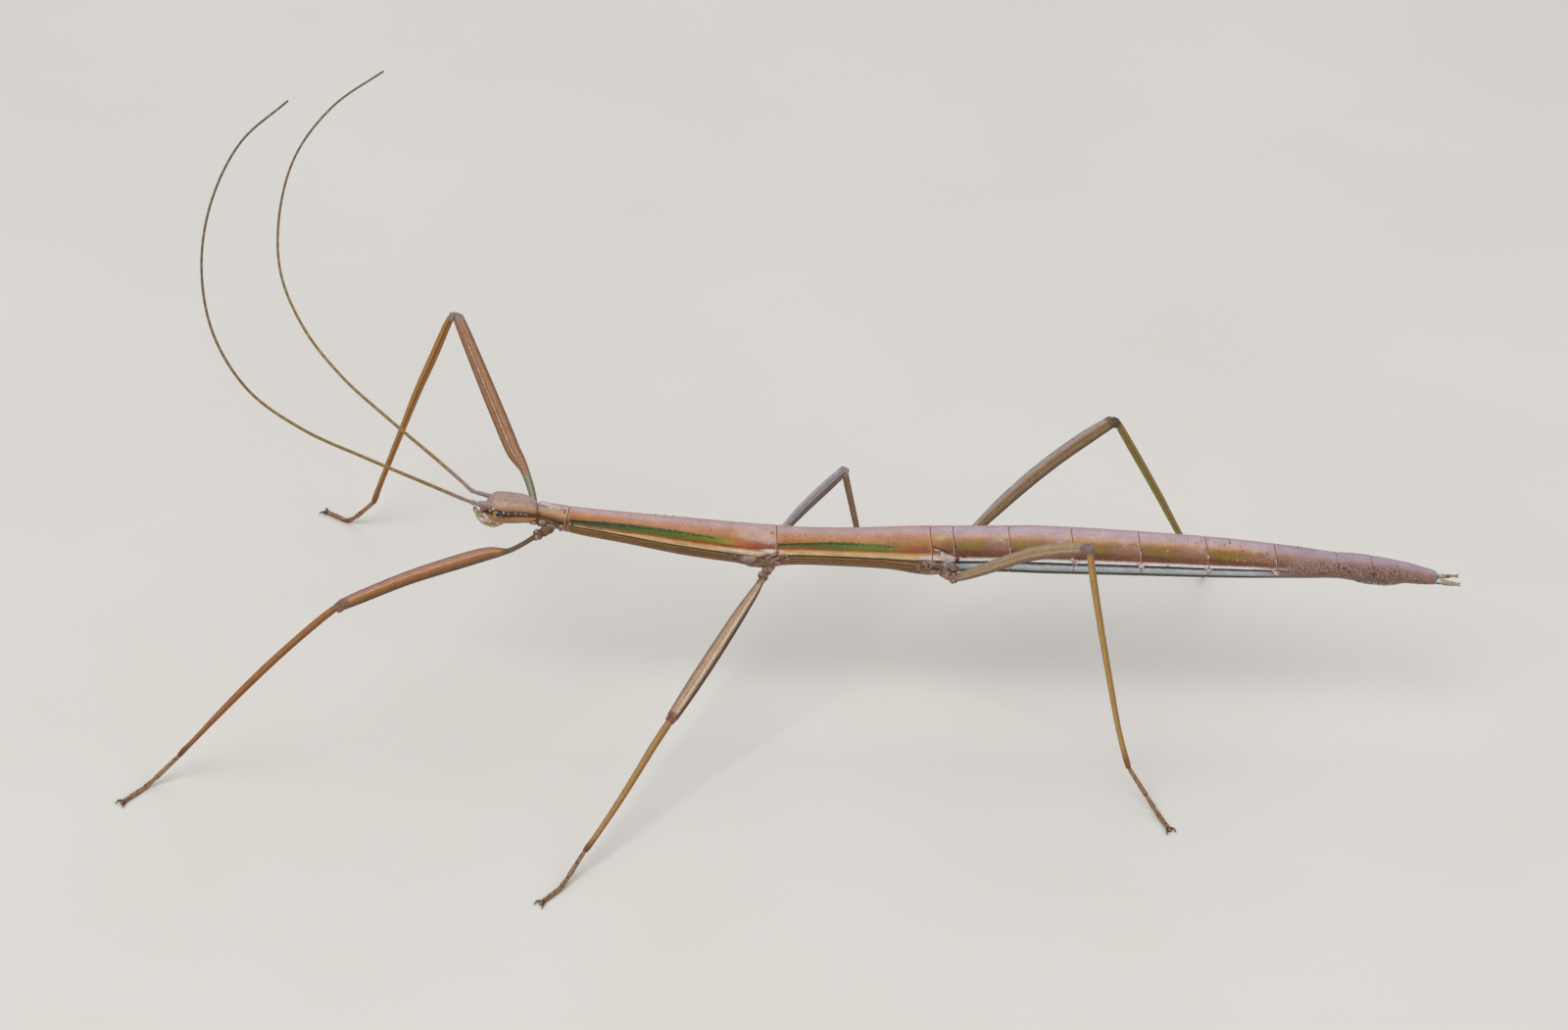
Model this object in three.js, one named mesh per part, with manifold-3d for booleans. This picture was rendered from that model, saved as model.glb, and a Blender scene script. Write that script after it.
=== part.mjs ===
// A slender wingless walking stick, modelled at life size as a still museum figure.
// Millimetres, +Z up. The insect heads towards -X and its left side is -Y. Its feet stand on z = 0.

import * as THREE from 'three';
import { mergeVertices } from 'three/addons/utils/BufferGeometryUtils.js';
import Module from 'manifold-3d';

const wasm = await Module();
wasm.setup();

// ---- Driving dimensions ----

const jointGap = 0.12; // thin cut between neighbouring plates
const seatGap = 0.08; // clearance where a limb or an eye sits in its socket
const bodyRoll = THREE.MathUtils.degToRad(-3); // the back leans a little to the right side
const feelerRadius = 0.28; // least radius of a feeler, a foot or a claw
const boxCentre = { x: 1.15, y: 2.1 }; // middle of the whole model, seen from above

// Joints of the body from front to back, as places along X.
const joints = {
  neck: -20.5,
  pronotum: -17.85,
  mesothorax: -0.55,
  metathorax: 12.25,
  medianSegment: 14.15,
  abdomen: [18.8, 24.05, 29.7, 35.35, 41.15, 46.4, 49.35, 51.6, 55.0],
};

// Height of the body's axis, its half width and its half depth, each as [place along X, size].
const axisHeight = [
  [-25.5, 18.35], [-23, 18.3], [-20.5, 17.9], [-17.8, 17.25], [-13, 16.55], [-8, 15.9], [-0.5, 15.2],
  [12, 15.15], [21, 15.3], [35, 14.95], [46.4, 14.4], [51.6, 13.9], [55, 13.35],
];
const bodyHalfWidth = [
  [-20.5, 0.95], [-19.4, 1.02], [-17.8, 1.12], [-13, 1.32], [-8, 1.52], [-0.5, 1.68],
  [1.5, 1.58], [6, 1.68], [12, 1.95], [18, 1.97], [22, 2.05], [32, 1.86],
  [38, 1.68], [43.5, 1.34], [48, 1.16], [51.6, 0.98], [55, 0.62],
];
const bodyHalfDepth = [
  [-20.5, 0.93], [-19.4, 0.98], [-17.8, 1.08], [-13, 1.28], [-8, 1.48], [-0.5, 1.62],
  [1.5, 1.55], [6, 1.62], [12, 1.88], [18, 1.93], [22, 1.98], [32, 1.8],
  [38, 1.6], [43.5, 1.28], [48, 1.12], [51.6, 0.92], [55, 0.55],
];

// The head by its distance forward from the neck: [distance, half width, half depth, lift of the centre].
const headSections = [
  [0, 0.86, 0.86, 0], [0.35, 1.02, 0.98, 0.02], [1.2, 1.2, 1.16, 0.05], [2.2, 1.33, 1.28, 0.05],
  [3.1, 1.4, 1.27, 0.02], [3.6, 1.24, 1.2, 0], [4.0, 0.98, 1.0, -0.08], [4.35, 0.7, 0.62, -0.2],
  [4.6, 0.42, 0.34, -0.32],
];
const eye = { forward: 3.25, side: 1.27, lift: 0.32, length: 0.43, bulge: 0.4, depth: 0.38 };

// The leg pairs: where each coxa leaves the body, its hip as [x, out, down], and the femur's half width.
const legPairs = {
  front: { root: -19.1, side: 0.62, drop: 0.62, hip: [-20.5, 1.1, 1.55], femur: 0.6, slimBase: true },
  middle: { root: -0.9, side: 0.95, drop: 1.05, hip: [-1.65, 1.8, 2.2], femur: 0.57, slimBase: false },
  hind: { root: 12.3, side: 1.3, drop: 1.0, hip: [14.1, 2.05, 1.5], femur: 0.56, slimBase: false },
};

// The joints of each leg in space. sole is where the foot comes down to the floor, and the bows say
// how far the femur's base, the femur's middle and the tibia's middle stand off the straight line.
const legPoses = {
  left_front: {
    knee: [-36.1, -17.0, 19.9], ankle: [-49.6, -13.9, 2.15],
    sole: [-52.1, -15.5, 0.45], toe: [-53.8, -17.5],
    bows: { base: [0.15, -0.21, -0.29], femur: [-0.1, 0.15, 0.2], tibia: [-0.28, 0.18, 0.25] },
  },
  left_middle: {
    knee: [-9.1, -13.2, 6.5], ankle: [-15.95, -24.8, 1.6],
    sole: [-17.75, -27.75, 0.4], toe: [-19.15, -29.5],
    bows: { base: [0.09, -0.03, -0.04], femur: [0.06, -0.02, -0.03], tibia: [0.09, -0.04, -0.05] },
  },
  left_hind: {
    knee: [24.35, -12.65, 24.3], ankle: [29.0, -13.85, 3.0],
    sole: [31.45, -16.35, 0.45], toe: [32.2, -18.1],
    bows: { base: [-0.03, 0.07, 0.1], femur: [-0.13, 0.31, 0.44], tibia: [-0.27, -0.03, -0.06] },
  },
  right_front: {
    knee: [-28.25, 20.8, 23.8], ankle: [-35.35, 23.0, 2.5],
    sole: [-37.6, 23.5, 0.4], toe: [-39.5, 24.8],
    bows: { base: [0.5, 0.12, 0.2], femur: [0.29, 0.07, 0.12], tibia: [-0.23, 0.07, 0.08] },
  },
  right_middle: {
    knee: [5.6, 14.35, 13.1], ankle: [7.35, 22.25, 1.5],
    sole: [9.6, 22.9, 0.4], toe: [12.5, 23.4],
    bows: { base: [-0.09, 0.05, 0.07], femur: [-0.17, 0.1, 0.13], tibia: [-0.01, 0, 0] },
  },
  right_hind: {
    knee: [28.15, 10.55, 21.35], ankle: [37.1, 16.25, 2.3],
    sole: [37.9, 18.6, 0.45], toe: [38.7, 21.45],
    bows: { base: [-0.19, 0.14, 0.19], femur: [-0.46, 0.34, 0.46], tibia: [0.08, 0.03, 0.05] },
  },
};
const tibiaHalf = 0.33;
const plateSides = 16;
const legSides = 8;
const shinSides = 7;
const feelerSides = 6;
const toeHeight = 0.22; // the foot's axis above the floor
const claw = { length: 0.85, spread: 0.42, hook: 0.16 };

// Both antennae rise from the brow and sweep back over the head at their tips.
const antennaRoutes = {
  left: [
    [-24.2, -0.7, 19.0], [-29.6, -0.9, 21.1], [-34.7, -1.1, 23.7], [-39.8, -1.3, 26.5], [-44.2, -1.1, 30.1],
    [-47.0, -0.2, 34.9], [-47.9, 1.0, 40.4], [-47.1, 2.1, 45.9], [-44.7, 2.9, 51.1], [-40.8, 2.8, 55.2],
  ],
  right: [
    [-24.3, 0.7, 18.9], [-29.0, 3.6, 20.5], [-33.2, 6.9, 22.3], [-37.2, 10.3, 24.1], [-40.6, 14.1, 26.4],
    [-42.8, 18.3, 29.3], [-43.1, 22.8, 32.6], [-41.9, 27.2, 35.7], [-38.9, 31.2, 38.2], [-34.8, 34.5, 39.8],
  ],
};

// ---- Colours ----

const colours = {
  headTan: 0xb98a72,
  thoraxPink: 0xb98678,
  abdomenPink: 0xb8846f,
  greenBand: 0x8a8b4a,
  legTan: 0xa9805c,
  legOrange: 0x9c6238,
  antennaGold: 0x9b7a4c,
  footBrown: 0x6f4a2f,
  creamHorn: 0xd8c6a2,
  eyeYellow: 0xb9b84a,
};

// ---- Helpers ----

// Smooth value at x through a list of [place, value], by Catmull-Rom between its neighbours.
function along(keys, x, column = 1) {
  const last = keys.length - 1;
  let i = 0;
  while (i < last - 1 && x > keys[i + 1][0]) i += 1;
  const span = keys[i + 1][0] - keys[i][0];
  const t = THREE.MathUtils.clamp((x - keys[i][0]) / span, 0, 1);
  const slope = (a, b) => (keys[b][column] - keys[a][column]) / (keys[b][0] - keys[a][0] || 1);
  const startSlope = slope(Math.max(i - 1, 0), i + 1) * span;
  const endSlope = slope(i, Math.min(i + 2, last)) * span;
  const tt = t * t;
  const ttt = tt * t;
  return keys[i][column] * (2 * ttt - 3 * tt + 1) + startSlope * (ttt - 2 * tt + t)
    + keys[i + 1][column] * (3 * tt - 2 * ttt) + endSlope * (ttt - tt);
}

// A point of the body: x along it, then out to the right side and up from its axis.
function bodyPoint(x, side, lift) {
  const turned = new THREE.Vector3(0, side, lift).applyAxisAngle(new THREE.Vector3(1, 0, 0), bodyRoll);
  return new THREE.Vector3(x, turned.y, along(axisHeight, x) + turned.z);
}

function headPoint(forward, side, lift) {
  return bodyPoint(joints.neck - forward, side, lift);
}

// A closed tube of rings. ring(t) gives each ring's centre, its sideways and upward half sizes
// as vectors, so the same function makes plates, legs and feelers.
function ringSolid(ring, sides, stations) {
  const shape = new THREE.CylinderGeometry(1, 1, 1, sides, stations.length - 1);
  const place = shape.attributes.position;
  for (let i = 0; i < place.count; i += 1) {
    const step = Math.round((place.getY(i) + 0.5) * (stations.length - 1));
    const { centre, across, over } = ring(stations[step]);
    const point = centre.clone();
    point.addScaledVector(across, place.getX(i)).addScaledVector(over, place.getZ(i));
    place.setXYZ(i, point.x, point.y, point.z);
  }
  shape.computeVertexNormals();
  return shape;
}

// Stations from 0 to 1, with one more near each end, where a plate rolls over into its rim.
function rimmedStations(steps, rim) {
  const inner = Array.from({ length: steps + 1 }, (_, i) => rim + (i / steps) * (1 - 2 * rim));
  return [0, ...inner, 1];
}

function evenStations(steps) {
  return Array.from({ length: steps + 1 }, (_, i) => i / steps);
}

// A limb along a smooth path. radius(t) is its half thickness, level the direction its rings keep to,
// and grow makes it stouter and longer all round, for cutting a socket into its neighbour.
function limb(points, radius, sides, stations, { level = new THREE.Vector3(0, 0, 1), grow = 0 } = {}) {
  const path = new THREE.CatmullRomCurve3(points, false, 'centripetal');
  return ringSolid((t) => {
    const tangent = path.getTangentAt(t);
    const across = tangent.clone().cross(level).normalize();
    const over = across.clone().cross(tangent).normalize();
    const beyond = (t === 1 ? grow : 0) - (t === 0 ? grow : 0);
    return {
      centre: path.getPointAt(t).addScaledVector(tangent, beyond),
      across: across.multiplyScalar(radius(t) + grow),
      over: over.multiplyScalar(radius(t) + grow),
    };
  }, sides, stations);
}

function ellipsoid(centre, half, sides = 8, rows = 6) {
  const shape = new THREE.SphereGeometry(1, sides, rows);
  shape.scale(half.x, half.y, half.z);
  shape.translate(centre.x, centre.y, centre.z);
  return shape;
}

function toSolid(shape) {
  const bare = shape.clone();
  bare.deleteAttribute('normal');
  bare.deleteAttribute('uv');
  const merged = mergeVertices(bare, 1e-4);
  return new wasm.Manifold(new wasm.Mesh({
    numProp: 3,
    vertProperties: new Float32Array(merged.attributes.position.array),
    triVerts: new Uint32Array(merged.index.array),
  }));
}

function toGeometry(solid) {
  const mesh = solid.getMesh();
  const shape = new THREE.BufferGeometry();
  shape.setAttribute('position', new THREE.BufferAttribute(new Float32Array(mesh.vertProperties), 3));
  shape.setIndex(new THREE.BufferAttribute(new Uint32Array(mesh.triVerts), 1));
  return shape;
}

const joined = (...shapes) => toGeometry(shapes.map(toSolid).reduce((a, b) => a.add(b)));
const cutBy = (shape, ...cutters) => toGeometry(
  cutters.map(toSolid).reduce((a, b) => a.subtract(b), toSolid(shape)),
);

// Flattens whatever would reach below the floor, which leaves a flat sole at z = 0.
function flattenSole(shape) {
  const place = shape.attributes.position;
  for (let i = 0; i < place.count; i += 1) {
    place.setZ(i, Math.max(place.getZ(i), 0));
  }
  return shape;
}

const model = new THREE.Group();
model.position.set(-boxCentre.x, -boxCentre.y, 0);

function add(name, shape, color, roughness = 0.55) {
  const mesh = new THREE.Mesh(shape, new THREE.MeshStandardMaterial({ color, roughness, metalness: 0 }));
  mesh.name = name;
  model.add(mesh);
}

// ---- Head ----

function headShape(grow = 0) {
  const last = headSections.length - 1;
  const longest = headSections[last][0];
  const stations = evenStations(9);
  return ringSolid((t) => {
    const forward = t * longest;
    const width = along(headSections, forward, 1) + grow;
    const depth = along(headSections, forward, 2) + grow;
    const end = t === 0 ? jointGap / 2 : forward + (t === 1 ? grow : 0);
    const centre = headPoint(end, 0, along(headSections, forward, 3));
    return {
      centre,
      across: new THREE.Vector3(0, width, 0).applyAxisAngle(new THREE.Vector3(1, 0, 0), bodyRoll),
      over: new THREE.Vector3(0, 0, depth).applyAxisAngle(new THREE.Vector3(1, 0, 0), bodyRoll),
    };
  }, plateSides, stations);
}

function eyeShape(side) {
  const centre = headPoint(eye.forward, side * eye.side, eye.lift);
  const ball = ellipsoid(centre, new THREE.Vector3(eye.length, eye.bulge, eye.depth), 10, 7);
  return cutBy(ball, headShape(seatGap));
}

// Upper lip, two jaws, and the two pairs of palps that hang before and below them.
function mouthShape() {
  const pieces = [];
  pieces.push(ellipsoid(headPoint(4.5, 0, -0.72), new THREE.Vector3(0.42, 0.48, 0.42)));
  for (const side of [-1, 1]) {
    pieces.push(ellipsoid(headPoint(4.15, side * 0.5, -0.92), new THREE.Vector3(0.62, 0.42, 0.42)));
    pieces.push(limb([
      headPoint(3.5, side * 0.62, -1.25), headPoint(4.3, side * 0.8, -1.42),
      headPoint(4.95, side * 0.72, -1.0), headPoint(5.1, side * 0.62, -0.35),
    ], () => 0.25, 5, evenStations(4)));
    pieces.push(limb([
      headPoint(3.2, side * 0.28, -1.25), headPoint(3.9, side * 0.32, -1.6),
      headPoint(4.6, side * 0.3, -1.45),
    ], () => 0.25, 5, evenStations(2)));
  }
  return cutBy(joined(...pieces), headShape(seatGap));
}

function antennaLengths(side) {
  const points = antennaRoutes[side].map((p) => new THREE.Vector3(...p));
  const path = new THREE.CatmullRomCurve3(points, false, 'centripetal');
  const whole = path.getLength();
  const scape = 1.5 / whole;
  const radius = (t) => (t < scape ? 0.34 : feelerRadius);
  return ['base', 'middle', 'tip'].map((name, i) => {
    const from = i / 3 + (i === 0 ? 0 : jointGap / 2 / whole);
    const to = (i + 1) / 3 - (i === 2 ? 0 : jointGap / 2 / whole);
    const cut = Array.from({ length: 11 }, (_, k) => path.getPointAt(from + (k / 10) * (to - from)));
    const stations = i === 0 ? [0, 0.05, 0.085, 0.1, 0.2, 0.35, 0.5, 0.66, 0.83, 1] : evenStations(6);
    const level = new THREE.Vector3(0, 1, 0);
    const shape = limb(cut, (t) => radius(from + t * (to - from)), feelerSides, stations, { level });
    return [name, i === 0 ? cutBy(shape, headShape(seatGap)) : shape];
  });
}

add('head', headShape(), colours.headTan, 0.5);
add('mouthparts', mouthShape(), colours.headTan, 0.5);
for (const [side, sign] of [['left', -1], ['right', 1]]) {
  add(`eye_${side}`, eyeShape(sign), colours.eyeYellow, 0.15);
  for (const [name, shape] of antennaLengths(side)) {
    add(`antenna_${side}_${name}`, shape, colours.antennaGold, 0.6);
  }
}

// ---- Thorax and abdomen ----

function plateShape(from, to, steps, grow = 0) {
  const rim = 0.22 / (to - from);
  const stations = rimmedStations(steps, rim);
  return ringSolid((t) => {
    const x = THREE.MathUtils.lerp(from + jointGap / 2 - grow, to - jointGap / 2 + grow, t);
    const rolled = t === 0 || t === 1 ? 0.93 : 1;
    const width = along(bodyHalfWidth, x) * rolled + grow;
    const depth = along(bodyHalfDepth, x) * rolled + grow;
    return {
      centre: bodyPoint(x, 0, 0),
      across: new THREE.Vector3(0, -width, 0).applyAxisAngle(new THREE.Vector3(1, 0, 0), bodyRoll),
      over: new THREE.Vector3(0, 0, depth).applyAxisAngle(new THREE.Vector3(1, 0, 0), bodyRoll),
    };
  }, plateSides, stations);
}

const { thoraxPink, greenBand, abdomenPink } = colours;
const plates = [
  { name: 'pronotum', from: joints.neck, to: joints.pronotum, steps: 2, color: thoraxPink },
  { name: 'mesothorax', from: joints.pronotum, to: joints.mesothorax, steps: 5, color: thoraxPink },
  { name: 'metathorax', from: joints.mesothorax, to: joints.metathorax, steps: 4, color: thoraxPink },
  {
    name: 'median_segment',
    from: joints.metathorax,
    to: joints.medianSegment,
    steps: 2,
    color: greenBand,
  },
];
let segmentStart = joints.medianSegment;
joints.abdomen.forEach((to, i) => {
  const steps = i < 6 ? 3 : 2;
  plates.push({ name: `abdomen_${i + 2}`, from: segmentStart, to, steps, color: abdomenPink });
  segmentStart = to;
});
for (const { name, from, to, steps, color } of plates) {
  add(name, plateShape(from, to, steps), color);
}

// The scoop under the tail and the two short cerci behind it.
function operculumShape() {
  const keys = [[0, 0.45], [0.3, 0.8], [0.6, 0.68], [0.85, 0.36], [1, 0.1]];
  const from = joints.abdomen[5] + 1.1;
  const to = joints.abdomen[7] + 0.7;
  const points = [0, 0.5, 1].map((t) => {
    const x = THREE.MathUtils.lerp(from, to, t);
    return bodyPoint(x, 0, -along(bodyHalfDepth, x) * 0.9 - 0.12 * t);
  });
  const scoop = limb(points, (t) => along(keys, t), 10, evenStations(6));
  const tail = plates.filter((plate) => plate.name.match(/abdomen_(7|8|9|10)$/));
  return cutBy(scoop, ...tail.map(({ from: a, to: b, steps }) => plateShape(a, b, steps, seatGap)));
}

function cercusShape(sign) {
  const tip = joints.abdomen[8];
  return limb([
    bodyPoint(tip + 0.1, sign * 0.3, -0.12), bodyPoint(tip + 1.0, sign * 0.52, -0.2),
    bodyPoint(tip + 2.1, sign * 0.66, -0.24),
  ], (t) => 0.28 - 0.08 * t * t, feelerSides, evenStations(4));
}

add('operculum', operculumShape(), colours.creamHorn);
add('cercus_left', cercusShape(-1), colours.creamHorn);
add('cercus_right', cercusShape(1), colours.creamHorn);

// ---- Legs ----

function between(a, b, t) {
  return a.clone().lerp(b, t);
}

function coxaLimb(pair, sign, hip, grow = 0) {
  const root = bodyPoint(pair.root, sign * pair.side, -pair.drop);
  const middle = between(root, hip, 0.5).add(new THREE.Vector3(0, sign * 0.12, -0.12));
  const keys = [[0, 0.62], [0.35, 0.7], [0.62, 0.55], [0.72, 0.46], [0.9, 0.52], [1, 0.42]];
  const stations = [0, 0.35, 0.62, 0.74, 0.88, 1];
  return limb([root, middle, hip], (t) => along(keys, t), legSides, stations, { grow });
}

function coxaShape(pair, sign, hip) {
  const isNear = ({ from, to }) => Math.abs((from + to) / 2 - pair.root) < (to - from) / 2 + 4;
  const sockets = plates.filter(isNear).map(({ from, to, steps }) => plateShape(from, to, steps, seatGap));
  return cutBy(coxaLimb(pair, sign, hip), ...sockets);
}

function bowed(a, b, t, offset) {
  return between(a, b, t).add(new THREE.Vector3(...offset));
}

function femurLimb(pair, hip, knee, bows, grow = 0) {
  const stout = pair.femur;
  const slimBase = [
    [0, 0.36], [0.16, 0.34], [0.23, stout], [0.6, stout * 0.98], [0.93, 0.52], [1, 0.42],
  ];
  const plainBase = [[0, 0.4], [0.06, 0.48], [0.3, stout], [0.65, stout * 0.97], [0.93, 0.5], [1, 0.4]];
  const keys = pair.slimBase ? slimBase : plainBase;
  const route = [hip, bowed(hip, knee, 0.17, bows.base), bowed(hip, knee, 0.55, bows.femur), knee];
  const stations = [0, 0.08, 0.16, 0.23, 0.4, 0.6, 0.8, 0.94, 1];
  return limb(route, (t) => along(keys, t), legSides, stations, { grow });
}

function tibiaLimb(knee, ankle, bows, grow = 0) {
  const keys = [
    [0, 0.36], [0.05, 0.42], [0.12, tibiaHalf], [0.9, tibiaHalf * 0.95], [0.97, 0.36], [1, 0.3],
  ];
  const stations = [0, 0.05, 0.12, 0.5, 0.9, 0.97, 1];
  const route = [knee, bowed(knee, ankle, 0.5, bows.tibia), ankle];
  const level = new THREE.Vector3(0, 1, 0);
  return limb(route, (t) => along(keys, t), shinSides, stations, { level, grow });
}

// Five joints of a foot that slope down from the ankle and lie along the floor, a pad and two claws.
function tarsusShape(ankle, sole, toe) {
  const rest = between(sole, toe, 0.5);
  const swell = (t) => feelerRadius + 0.045 * Math.abs(Math.sin(Math.PI * 5 * t ** 0.8));
  const foot = limb([ankle, sole, rest, toe], swell, feelerSides, evenStations(9));
  const ahead = toe.clone().sub(sole).setZ(0).normalize();
  const across = new THREE.Vector3(-ahead.y, ahead.x, 0);
  const padCentre = toe.clone().addScaledVector(ahead, 0.12).setZ(0.18);
  const pad = ellipsoid(padCentre, new THREE.Vector3(0.36, 0.36, 0.3), 6, 4);
  const claws = [-1, 1].map((sign) => {
    const out = (forward, side, height) => toe.clone().addScaledVector(ahead, forward)
      .addScaledVector(across, sign * side).setZ(height);
    const route = [
      out(-0.2, 0.1, toe.z), out(claw.length * 0.45, claw.spread * 0.8, toe.z + claw.hook),
      out(claw.length, claw.spread, toe.z),
    ];
    return limb(route, (t) => feelerRadius - 0.09 * t, 5, evenStations(2));
  });
  return joined(...[foot, pad, ...claws].map(flattenSole));
}

for (const [name, pose] of Object.entries(legPoses)) {
  const [side, pairName] = name.split('_');
  const sign = side === 'left' ? -1 : 1;
  const pair = legPairs[pairName];
  const [hipX, hipSide, hipDrop] = pair.hip;
  const hip = bodyPoint(hipX, sign * hipSide, -hipDrop);
  const knee = new THREE.Vector3(...pose.knee);
  const ankle = new THREE.Vector3(...pose.ankle);
  const toe = new THREE.Vector3(...pose.toe, toeHeight);
  const sole = new THREE.Vector3(...pose.sole);
  const coxa = coxaLimb(pair, sign, hip, seatGap);
  const femur = femurLimb(pair, hip, knee, pose.bows, seatGap);
  const tibia = tibiaLimb(knee, ankle, pose.bows, seatGap);
  add(`coxa_${name}`, coxaShape(pair, sign, hip), colours.headTan);
  add(`femur_${name}`, cutBy(femurLimb(pair, hip, knee, pose.bows), coxa), colours.legTan);
  add(`tibia_${name}`, cutBy(tibiaLimb(knee, ankle, pose.bows), femur), colours.legOrange);
  add(`tarsus_${name}`, cutBy(tarsusShape(ankle, sole, toe), tibia), colours.footBrown);
}

export default model;
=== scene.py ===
import math
import random

import bmesh
import bpy
from mathutils import Matrix, Vector, noise


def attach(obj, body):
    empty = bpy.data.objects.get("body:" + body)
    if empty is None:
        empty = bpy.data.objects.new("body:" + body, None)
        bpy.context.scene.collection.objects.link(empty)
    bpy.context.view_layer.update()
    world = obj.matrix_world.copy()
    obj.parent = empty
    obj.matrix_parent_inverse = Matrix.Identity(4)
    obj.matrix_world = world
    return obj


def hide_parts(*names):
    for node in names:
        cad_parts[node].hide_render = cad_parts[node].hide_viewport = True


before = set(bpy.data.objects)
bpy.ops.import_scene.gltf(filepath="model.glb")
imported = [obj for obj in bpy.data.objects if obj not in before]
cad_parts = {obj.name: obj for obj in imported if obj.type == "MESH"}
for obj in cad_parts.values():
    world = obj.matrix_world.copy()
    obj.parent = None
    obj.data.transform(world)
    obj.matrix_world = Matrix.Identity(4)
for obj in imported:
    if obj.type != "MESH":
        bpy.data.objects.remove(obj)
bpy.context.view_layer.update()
mm = 0.001
boxShift = Vector((-1.15, -2.1, 0))  # the routes below are in millimetres, before the box was centred
facing = Vector((-0.03, -0.82, 0.57))  # towards the front left and up: bands run across a limb seen from here
upward = Vector((0, 0, 1))
signs = {"left": -1, "right": 1}
print("frame loaded")


def linear(hexColour):
    channels = [int(hexColour[i : i + 2], 16) / 255 for i in (0, 2, 4)]
    curve = [c / 12.92 if c <= 0.04045 else ((c + 0.055) / 1.055) ** 2.4 for c in channels]
    return (*curve, 1)


def addNode(tree, kind, values=None, stops=None, **settings):
    # values go into the sockets they name; a socket or a whole node among them is linked
    node = tree.nodes.new("ShaderNode" + kind)
    for key, value in settings.items():
        setattr(node, key, value)
    for socket, value in (values or {}).items():
        if isinstance(value, bpy.types.Node):
            value = value.outputs[0]
        if isinstance(value, bpy.types.NodeSocket):
            tree.links.new(value, node.inputs[socket])
        else:
            node.inputs[socket].default_value = value
    if stops:
        ramp = node.color_ramp  # colours last, because a moved stop can change its order
        while len(ramp.elements) < len(stops):
            ramp.elements.new(1)
        for element, (place, colour) in zip(ramp.elements, stops):
            element.position = place
        for element, (place, colour) in zip(ramp.elements, stops):
            element.color = linear(colour)
    return node


def newMaterial(name, *facts):
    # a material with one shader, and the sockets of the facts that its pieces store
    material = bpy.data.materials.new(name)
    material.use_nodes = True
    tree = material.node_tree
    tree.nodes.clear()
    shader = addNode(tree, "BsdfPrincipled", {"IOR": 1.55, "Specular IOR Level": 0.3}, name="shader")
    addNode(tree, "OutputMaterial", {"Surface": shader})
    addNode(tree, "TexCoord", name="place")
    return material, tree, [addNode(tree, "Attribute", attribute_name=fact).outputs["Fac"] for fact in facts]


def window(tree, source, low, high, soft):
    # 1 where source lies between low and high, fading over soft on each side
    edges = []
    for edge in (low, high):
        values = {0: source, 1: edge - soft, 2: edge + soft}
        edges.append(addNode(tree, "MapRange", values, interpolation_type="SMOOTHSTEP"))
    return addNode(tree, "Math", {0: edges[0], 1: edges[1]}, operation="SUBTRACT")


def grain(tree, size, low, high, detail=3, floor=0.0, top=1.0):
    # noise with features of about size millimetres, cut between low and high
    place = tree.nodes["place"].outputs["Object"]
    cloud = addNode(tree, "TexNoise", {"Vector": place, "Scale": 1 / (size * mm), "Detail": detail})
    return addNode(tree, "MapRange", {0: cloud, 1: low, 2: high, 3: floor, 4: top})


def fibres(tree, run, across, stretch, detail, floor, top):
    # a factor that varies in long streaks, from a place along a piece and one across it
    flat = addNode(tree, "CombineXYZ", {0: run, 1: across})
    stretched = addNode(tree, "VectorMath", {0: flat, 1: stretch}, operation="MULTIPLY")
    streak = addNode(tree, "TexNoise", {"Vector": stretched, "Scale": 1.0, "Detail": detail})
    return addNode(tree, "MapRange", {0: streak, 1: 0.3, 2: 0.7, 3: floor, 4: top})


def pattern(tree, item):
    # (source, low, high, soft) is a window and (size, low, high, ...) a grain; anything else stays as it is
    if not isinstance(item, tuple):
        return item
    return (grain if isinstance(item[0], float) else window)(tree, *item)


def paint(tree, colour, *layers, blend="MIX"):
    # lays each layer's colour over the ones below, as strongly as the product of its patterns
    for over, *masks in layers:
        strength, *others = [pattern(tree, mask) for mask in masks]
        for other in others:
            strength = addNode(tree, "Math", {0: strength, 1: other}, operation="MULTIPLY")
        over = linear(over) if isinstance(over, str) else pattern(tree, over)
        values = {0: strength, 6: colour, 7: over}
        colour = addNode(tree, "Mix", values, data_type="RGBA", blend_type=blend).outputs[2]
    return colour


def finish(tree, colour, bumpSize, bumpHeight, roughness):
    # fine relief of the given size and height in millimetres, and a roughness that varies
    shader, place = tree.nodes["shader"], tree.nodes["place"].outputs["Object"]
    tree.links.new(colour, shader.inputs["Base Color"])
    fine = addNode(tree, "TexNoise", {"Vector": place, "Scale": 1 / (bumpSize * mm), "Detail": 4})
    relief = addNode(tree, "Bump", {"Strength": 0.6, "Distance": bumpHeight * mm, "Height": fine})
    tree.links.new(relief.outputs[0], shader.inputs["Normal"])
    tree.links.new(grain(tree, 0.4, 0.3, 0.7, 3, *roughness).outputs[0], shader.inputs["Roughness"])


def keyed(rows, x, column=1):
    # smooth value at x through rows that start with their place
    last = len(rows) - 1
    i = 0
    while i < last - 1 and x > rows[i + 1][0]:
        i += 1
    before, start, end, after = (rows[k] for k in (max(i - 1, 0), i, i + 1, min(i + 2, last)))
    span = end[0] - start[0]
    t = min(max((x - start[0]) / span, 0), 1)
    startSlope = (end[column] - before[column]) / (end[0] - before[0]) * span
    endSlope = (after[column] - start[column]) / (after[0] - start[0]) * span
    t2, t3 = t * t, t * t * t
    return (
        start[column] * (2 * t3 - 3 * t2 + 1)
        + startSlope * (t3 - 2 * t2 + t)
        + end[column] * (3 * t2 - 2 * t3)
        + endSlope * (t3 - t2)
    )


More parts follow.
